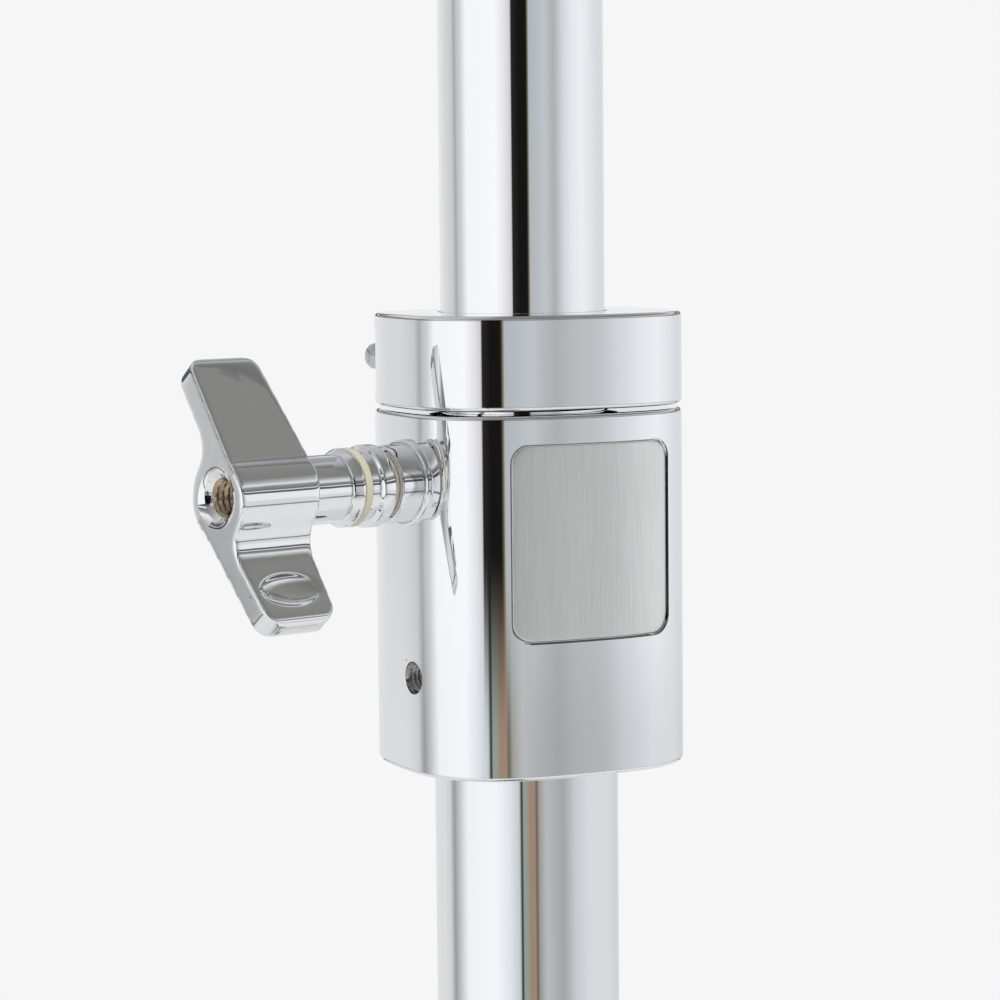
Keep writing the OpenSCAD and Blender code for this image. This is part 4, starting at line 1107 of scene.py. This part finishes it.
# Each row is a finish, the number of faces across a bevel, and the width of the bevel in
# millimetres for each solid: first plated pieces, then plain steel, castings and nylon bushes.
SOFT_EDGED = [
    (PLATED_CHROME, 2, {
        "leg_ring": 0.7, "leg_collar": 0.7, "seat_base": 0.6, "seat_cup": 0.7, "clutch_body": 0.5,
        "clutch_lock_nut": 0.4, "clutch_nuts": 0.4, "leg_back": 0.5, "leg_left": 0.5,
        "leg_right": 0.5, "brace_back": 0.4, "brace_left": 0.4, "brace_right": 0.4,
        "upper_pull_rod": 0.5, "lower_pull_rod": 0.5, "radius_rods": 0.4, "clamp_eye_bolt": 0.4}),
    (ZINC, 2, {
        "yoke_screws": 0.35, "spring_seat": 0.3, "spring_collar": 0.4, "rod_coupler": 0.5,
        "rod_clevis": 0.5, "toe_stop": 0.6, "toe_clevis": 0.5, "heel_hinge_pin": 0.4,
        "seat_hinge_pin": 0.3, "tilt_screw": 0.35}),
    (CAST_ALUMINIUM, 3, {
        "base_plate": 0.8, "heel_plate": 1.0, "drive_yoke": 1.0, "footboard": 1.2}),
    (BLACK_NYLON, 2, {
        "guide_bush_lower": 0.3, "guide_bush_upper": 0.3, "rod_guide": 0.3, "seat_sleeve": 0.3}),
]
for material, segments, widths in SOFT_EDGED:
    for node, width in widths.items():
        soft_edged(node, width, material, segments)
    print(len(widths), "pieces of", material.name)

# %% [markdown]
# ## Felts
# A felt washer is pressed wool. It has round shoulders, a slightly uneven face and a fuzz of
# fibre. The lathe gives the shoulders, and a little noise moved into the mesh gives the unevenness,
# which the fuzz of the finish then covers.

# %% Felts
SEAT_FELT_BORE_R = 8.3
CLUTCH_FELT_BORE_R = 6.8
CLUTCH_FELT_T = 7.0


def felt_ring(name, inner, outer, low, high, uneven=0.16):
    line = soft_corners(box_line(inner, outer, low, high), 1.9, steps=8)
    dense = []
    for here, after in zip(line, line[1:] + line[:1]):
        dense += between(here, after, max(1, int(math.dist(here, after) / 0.9)))
    ring = lathe(name, dense, FELT, segments=144, radius=0, sharp=80)
    middle = Vector((0, 0, (low + high) / 2)) * MM
    for v in ring.data.vertices:
        x, y, z = v.co
        wave = sum(math.sin(x * f + 1.3 * f) * math.cos(y * f * 1.1) * math.sin(z * f * 0.9 + 1)
                   for f in (700, 1300, 2100)) / 3
        v.co -= (v.co - middle).normalized() * uneven * MM * (0.5 + 0.5 * wave)
    return ring


def span(node):
    """Lowest and highest point of a solid, in millimetres."""
    low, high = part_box(node)
    return [c / MM for c in low], [c / MM for c in high]


low, high = span("seat_felt")
dress(felt_ring("seat_felt_ring", SEAT_FELT_BORE_R, high[0], low[2], high[2]), "seat_felt")
print("seat felt", [round(v, 1) for v in high])
low, high = span("clutch_felts")
dress(join([
    felt_ring("felt_a", CLUTCH_FELT_BORE_R, high[0], low[2], low[2] + CLUTCH_FELT_T),
    felt_ring("felt_b", CLUTCH_FELT_BORE_R, high[0], high[2] - CLUTCH_FELT_T, high[2])],
    "clutch_felt_rings"), "clutch_felts")
print("clutch felts", [round(v, 1) for v in high])

# %% [markdown]
# ## Wing screws of the legs and the clutch
# They have the same form as the clamp's wing nut, only smaller, so the same helper makes them and
# each gets its own screw.

# %% Leg bolt and clutch screw
LEG_COLLAR_Z = 368.53
LEG_WING = (11.0, 6.0, 20.0, 1.6, 4.0, 4.0)
CLUTCH_WING = (9.0, 5.0, 14.0, 1.2, 3.0, 3.0)


def wing_screw(name, node, sizes, place, corner, voxel):
    """Wing casting and its plain screw, sized from the solid that they stand for."""
    wing = wing_form(name, sizes, place, corner, voxel)
    hub_end, back = sizes[0] / 2, place.inverted()
    points = [back @ (v.co / MM) for v in frame["nodes"][node].data.vertices]
    shank_r = max(math.hypot(p.y, p.z) for p in points if p.x > hub_end + 1)
    shank = rod(name + "_shank", shank_r, hub_end - 2, max(p.x for p in points),
                place @ turned(90, "Y"), PLATED_CHROME, segments=64, radius=0.4)
    cut(wing, shank, operation="UNION")
    return dress(cleaned(wing, 34.0), node)


low, high = span("leg_wing_bolt")
leg_place = at(z=LEG_COLLAR_Z) @ turned(90, "Z") @ at(low[1] + LEG_WING[0] / 2)
leg_bolt = wing_screw("leg_wing_casting", "leg_wing_bolt", LEG_WING, leg_place, corner=3.0,
                      voxel=0.28)
low, high = span("clutch_wing_screw")
clutch_place = at(low[0] + CLUTCH_WING[0] / 2, 0, (low[2] + high[2]) / 2)
clutch_screw = wing_screw("clutch_wing_casting", "clutch_wing_screw", CLUTCH_WING, clutch_place,
                          corner=2.5, voxel=0.24)
print("faces", len(leg_bolt.data.polygons), "leg", len(clutch_screw.data.polygons), "clutch")

# %% [markdown]
# ## Repeated pieces with Geometry Nodes
# Spring, chain and grips follow a rule: a shape is repeated along a line or swept along a helix.
# A node tree says the rule once, with its sizes as inputs, and its result is kept as a plain mesh.

# %% Node trees


class Rule(Tree):
    """A Geometry Nodes tree being built. Its named inputs are set by their identifiers."""

    def __init__(self, name):
        super().__init__(bpy.data.node_groups.new(name, "GeometryNodeTree"))
        self.socket("Geometry", "OUTPUT", "NodeSocketGeometry")
        self.values = {}
        self.source = self.node("NodeGroupInput")

    def socket(self, name, in_out, kind):
        return self.tree.interface.new_socket(name, in_out=in_out, socket_type=kind)

    def size(self, name, value, kind="NodeSocketFloat"):
        self.values[self.socket(name, "INPUT", kind).identifier] = value
        return self.source.outputs[name]

    def build(self, name, shape, material, sharp):
        real = self.node("GeometryNodeRealizeInstances", shape)
        self.node("NodeGroupOutput", self.node("GeometryNodeSetMaterial", real, Material=material))
        piece = link(name, bpy.data.meshes.new(name))
        modifier = piece.modifiers.new("rule", "NODES")
        modifier.node_group = self.tree
        for identifier, value in self.values.items():
            modifier[identifier] = value
        as_mesh(piece)
        shade(piece.data, sharp)
        return piece


print("node helper ready")

# %% Return spring
SPRING_R = 8.5
WIRE_R = 1.2
SPRING_TURNS = 12.0


def coil_spring():
    low, high = span("return_spring")
    rule = Rule("return_spring_rule")
    turns = rule.size("Turns", SPRING_TURNS)
    radius = rule.size("Coil radius", SPRING_R * MM)
    wire = rule.size("Wire radius", WIRE_R * MM)
    rise = rule.size("Rise", (high[2] - low[2] - 2 * WIRE_R) * MM)
    helix = rule.node("GeometryNodeCurveSpiral", Resolution=64, Rotations=turns,
                      Start_Radius=radius, End_Radius=radius, Height=rise)
    ring = rule.node("GeometryNodeCurvePrimitiveCircle", Resolution=20, Radius=wire)
    sweep = rule.node("GeometryNodeCurveToMesh", Curve=helix, Profile_Curve=ring, Fill_Caps=True)
    spring = rule.build("coil_spring", sweep, ZINC, 50)
    spring.data.transform(at(z=(low[2] + WIRE_R) * MM))
    dress(spring, "return_spring")
    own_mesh(spring)
    return spring


spring = coil_spring()
print("spring", len(spring.data.polygons), "faces,", SPRING_TURNS, "turns")

# %% [markdown]
# The drive chain is a short roller chain. Inner and outer plates take turns, so each kind is
# spaced two pitches apart. The plates have the waist of a real chain plate, and the rollers are
# turned parts with small chamfers.

# %% Drive chain
CHAIN_TOP_Z = 142.0
CHAIN_PITCH = 12.7
CHAIN_LINKS = 4
PLATE_R = 4.6
PLATE_T = 1.2
PLATE_INNER_X = 2.4
PLATE_OUTER_X = PLATE_INNER_X + PLATE_T + 0.2
PIN_R = 1.8
ROLLER_R = 3.9
ROLLER_HALF = 2.2


def repeated(name, source, count, step, start, material=CHAIN_STEEL):
    """Copies of a source shape in a row, from a start and with a step in millimetres."""
    rule = Rule(name + "_rule")
    number = rule.size("Count", count, "NodeSocketInt")
    offset = rule.size("Step", Vector(step) * MM, "NodeSocketVector")
    first = rule.size("Start", Vector(start) * MM, "NodeSocketVector")
    row = rule.node("GeometryNodeMeshLine", Count=number, Start_Location=first, Offset=offset)
    shape = rule.node("GeometryNodeObjectInfo", Object=source).outputs["Geometry"]
    copies = rule.node("GeometryNodeInstanceOnPoints", Points=row, Instance=shape)
    made = rule.build(name, copies, material, 35)
    bpy.data.objects.remove(source)
    return made


def chain_plate(name, x0):
    """Waisted plate between two pins, hanging from the first one, on both sides of the chain."""
    top = arc((0, 0), PLATE_R, -20, 200, 36)
    waist = (PLATE_R * 0.78, -CHAIN_PITCH / 2)
    loop = top + [(-waist[0], waist[1])] + [(-y, -CHAIN_PITCH - z) for y, z in top] + [waist]
    pieces = []
    for side in (1, -1):
        ends = sorted((side * x0, side * (x0 + PLATE_T)))
        plate = prism(f"{name}_{side}", loop, ends, lambda y, z, x: (x, y, z), CHAIN_STEEL)
        for z in (0, -CHAIN_PITCH):
            cut(plate, rod("pin_hole", PIN_R + 0.1, -20, 20, along_x(z=z), CHAIN_STEEL,
                           segments=32))
        pieces.append(bevelled(plate, 0.18))
    return join(pieces, name)


def roller(name, half_pin):
    body = rod(name + "_roller", ROLLER_R, -ROLLER_HALF, ROLLER_HALF, along_x(), CHAIN_STEEL,
               segments=48, radius=0.35)
    pin = rod(name + "_pin", PIN_R, -half_pin, half_pin, along_x(), CHAIN_STEEL, segments=32,
              radius=0.3)
    return join([body, pin], name)


first, second = (0, 0, CHAIN_TOP_Z), (0, 0, CHAIN_TOP_Z - CHAIN_PITCH)
pairs, step = CHAIN_LINKS // 2, (0, 0, -2 * CHAIN_PITCH)
inner = repeated("inner_plates", chain_plate("inner_plate", PLATE_INNER_X), pairs, step, first)
outer = repeated("outer_plates", chain_plate("outer_plate", PLATE_OUTER_X), pairs, step, second)
plates = dress(join([inner, outer], "chain_link_plates"), "chain_plates")
middle = repeated("middle_rollers", roller("middle_roller", 5.4), CHAIN_LINKS - 1,
                  (0, 0, -CHAIN_PITCH), second)
ends = repeated("end_rollers", roller("end_roller", 2.3), 2,
                (0, 0, -CHAIN_LINKS * CHAIN_PITCH), first)
rollers = dress(join([middle, ends], "chain_roller_row"), "chain_rollers")
print("chain", len(plates.data.polygons) + len(rollers.data.polygons), "faces")

# %% [markdown]
# ## Footboard grips
# The grips are soft rubber bars let into the footboard. One bar with round ends and fine
# cross ribs is repeated up the board, in the board's own slope.

# %% Grips
BOARD_PIVOT = (0.0, -285.0, 16.0)
BOARD_END_Z = 91.2
BOARD_TURN = math.degrees(math.atan2(BOARD_END_Z - BOARD_PIVOT[2], -BOARD_PIVOT[1]))
BOARD_T = 6.0
GRIP_COUNT = 10
GRIP_Y0, GRIP_PITCH = 66.0, 14.0
GRIP_LEN, GRIP_W, GRIP_T = 66.0, 6.0, 2.4
GRIP_RISE = BOARD_T / 2 - 1 + GRIP_T / 2 + 0.05


def grip_bar(name):
    """Bar with rounded ends, whose top has fine ribs across it."""
    per_rib = 4
    steps = 22 * per_rib
    rings = []
    for i in range(steps + 1):
        x = -GRIP_LEN / 2 + GRIP_LEN * i / steps
        edge = min(1.0, (GRIP_LEN / 2 - abs(x)) / 1.2)
        swell = math.sqrt(max(0.0, 1 - (1 - edge) ** 2)) * 0.35 + 0.65
        rib = 0.16 * (0.5 - 0.5 * math.cos(2 * math.pi * i / per_rib)) * edge
        half = GRIP_W / 2 * swell
        section = soft_corners(box_line(-half, half, -GRIP_T / 2, GRIP_T / 2 - rib), 0.7, steps=5)
        rings.append([(x, y, z) for y, z in section])
    return skin(name, rings, RUBBER, closed=False, caps=True)


grips = repeated("footboard_grip_bars", grip_bar("grip_bar"), GRIP_COUNT, (0, GRIP_PITCH, 0),
                 (0, GRIP_Y0, GRIP_RISE), RUBBER)
grips.data.transform(at(*[c * MM for c in BOARD_PIVOT]) @ turned(BOARD_TURN, "X"))
dress(grips, "footboard_grips")
print("grips", len(grips.data.polygons), "faces on a board at", round(BOARD_TURN, 2), "degrees")

# %% [markdown]
# ## Tension dial and rubber feet
# The dial is a moulded wheel with scallops for the fingers. Its radius follows a wave round the
# wheel, which is simplest to write as a grid of points. The feet are turned, with grooves that let
# the rubber bend.

# %% Tension dial
DIAL_R = 22.0
DIAL_SCALLOPS = 18
SCALLOP_DEPTH = 0.9
DIAL_BORE_R = 14.6


def scalloped_wheel():
    low, high = span("tension_dial")
    around = DIAL_SCALLOPS * 16
    dips = [max(0.0, math.cos(2 * math.pi * DIAL_SCALLOPS * k / around)) ** 1.5 * SCALLOP_DEPTH
            for k in range(around)]
    line = soft_corners(box_line(DIAL_BORE_R, DIAL_R, low[2], high[2]), 1.1, steps=6)
    rings = []
    for r, h in line:
        share = (r - DIAL_BORE_R) / (DIAL_R - DIAL_BORE_R)
        rings.append(circle([r - dip * share for dip in dips], h))
    return skin("tension_wheel", rings, BLACK_NYLON, sharp=50.0)


dial = dress(scalloped_wheel(), "tension_dial")
print("dial", len(dial.data.polygons), "faces")

# %% Rubber feet
LEG_AZIMUTHS = {"back": 90.0, "left": 210.0, "right": 330.0}
LEG_PIVOT_R = 30.0
LEG_SLOPE = 40.0
FOOT_R = 12.0
FOOT_LEN = 31.0
FOOT_BORE_R = 5.2
GROOVE_STEP, GROOVE_DEPTH = 5.0, 1.1
LEG_LEN = (LEG_COLLAR_Z - FOOT_R) / math.cos(math.radians(LEG_SLOPE))


def foot_profile():
    start, r = LEG_LEN - FOOT_LEN + 0.1, FOOT_R - 0.5
    line = [(FOOT_BORE_R, start), (r, start)]
    for k in range(3):
        h = start + 6 + GROOVE_STEP * k
        line += [(r, h), (r - GROOVE_DEPTH, h + 0.5), (r - GROOVE_DEPTH, h + 1.5), (r, h + 2)]
    line += [(r, LEG_LEN - 1)] + arc((0, LEG_LEN), FOOT_R, 6, 83, 11)
    line += [(0, LEG_LEN + FOOT_R), (0, start + 2), (FOOT_BORE_R, start + 2)]
    return soft_corners(line, 0.35, steps=2, closed=False)


for side, azimuth in LEG_AZIMUTHS.items():
    down = (turned(azimuth, "Z") @ at(LEG_PIVOT_R, 0, LEG_COLLAR_Z) @ turned(90 - LEG_SLOPE, "Y")
            @ turned(90, "Y"))
    foot = lathe(f"rubber_foot_{side}", foot_profile(), RUBBER, down, segments=96, radius=0,
                 closed=False, sharp=60)
    dress(foot, f"foot_{side}")
print("feet at", list(LEG_AZIMUTHS))
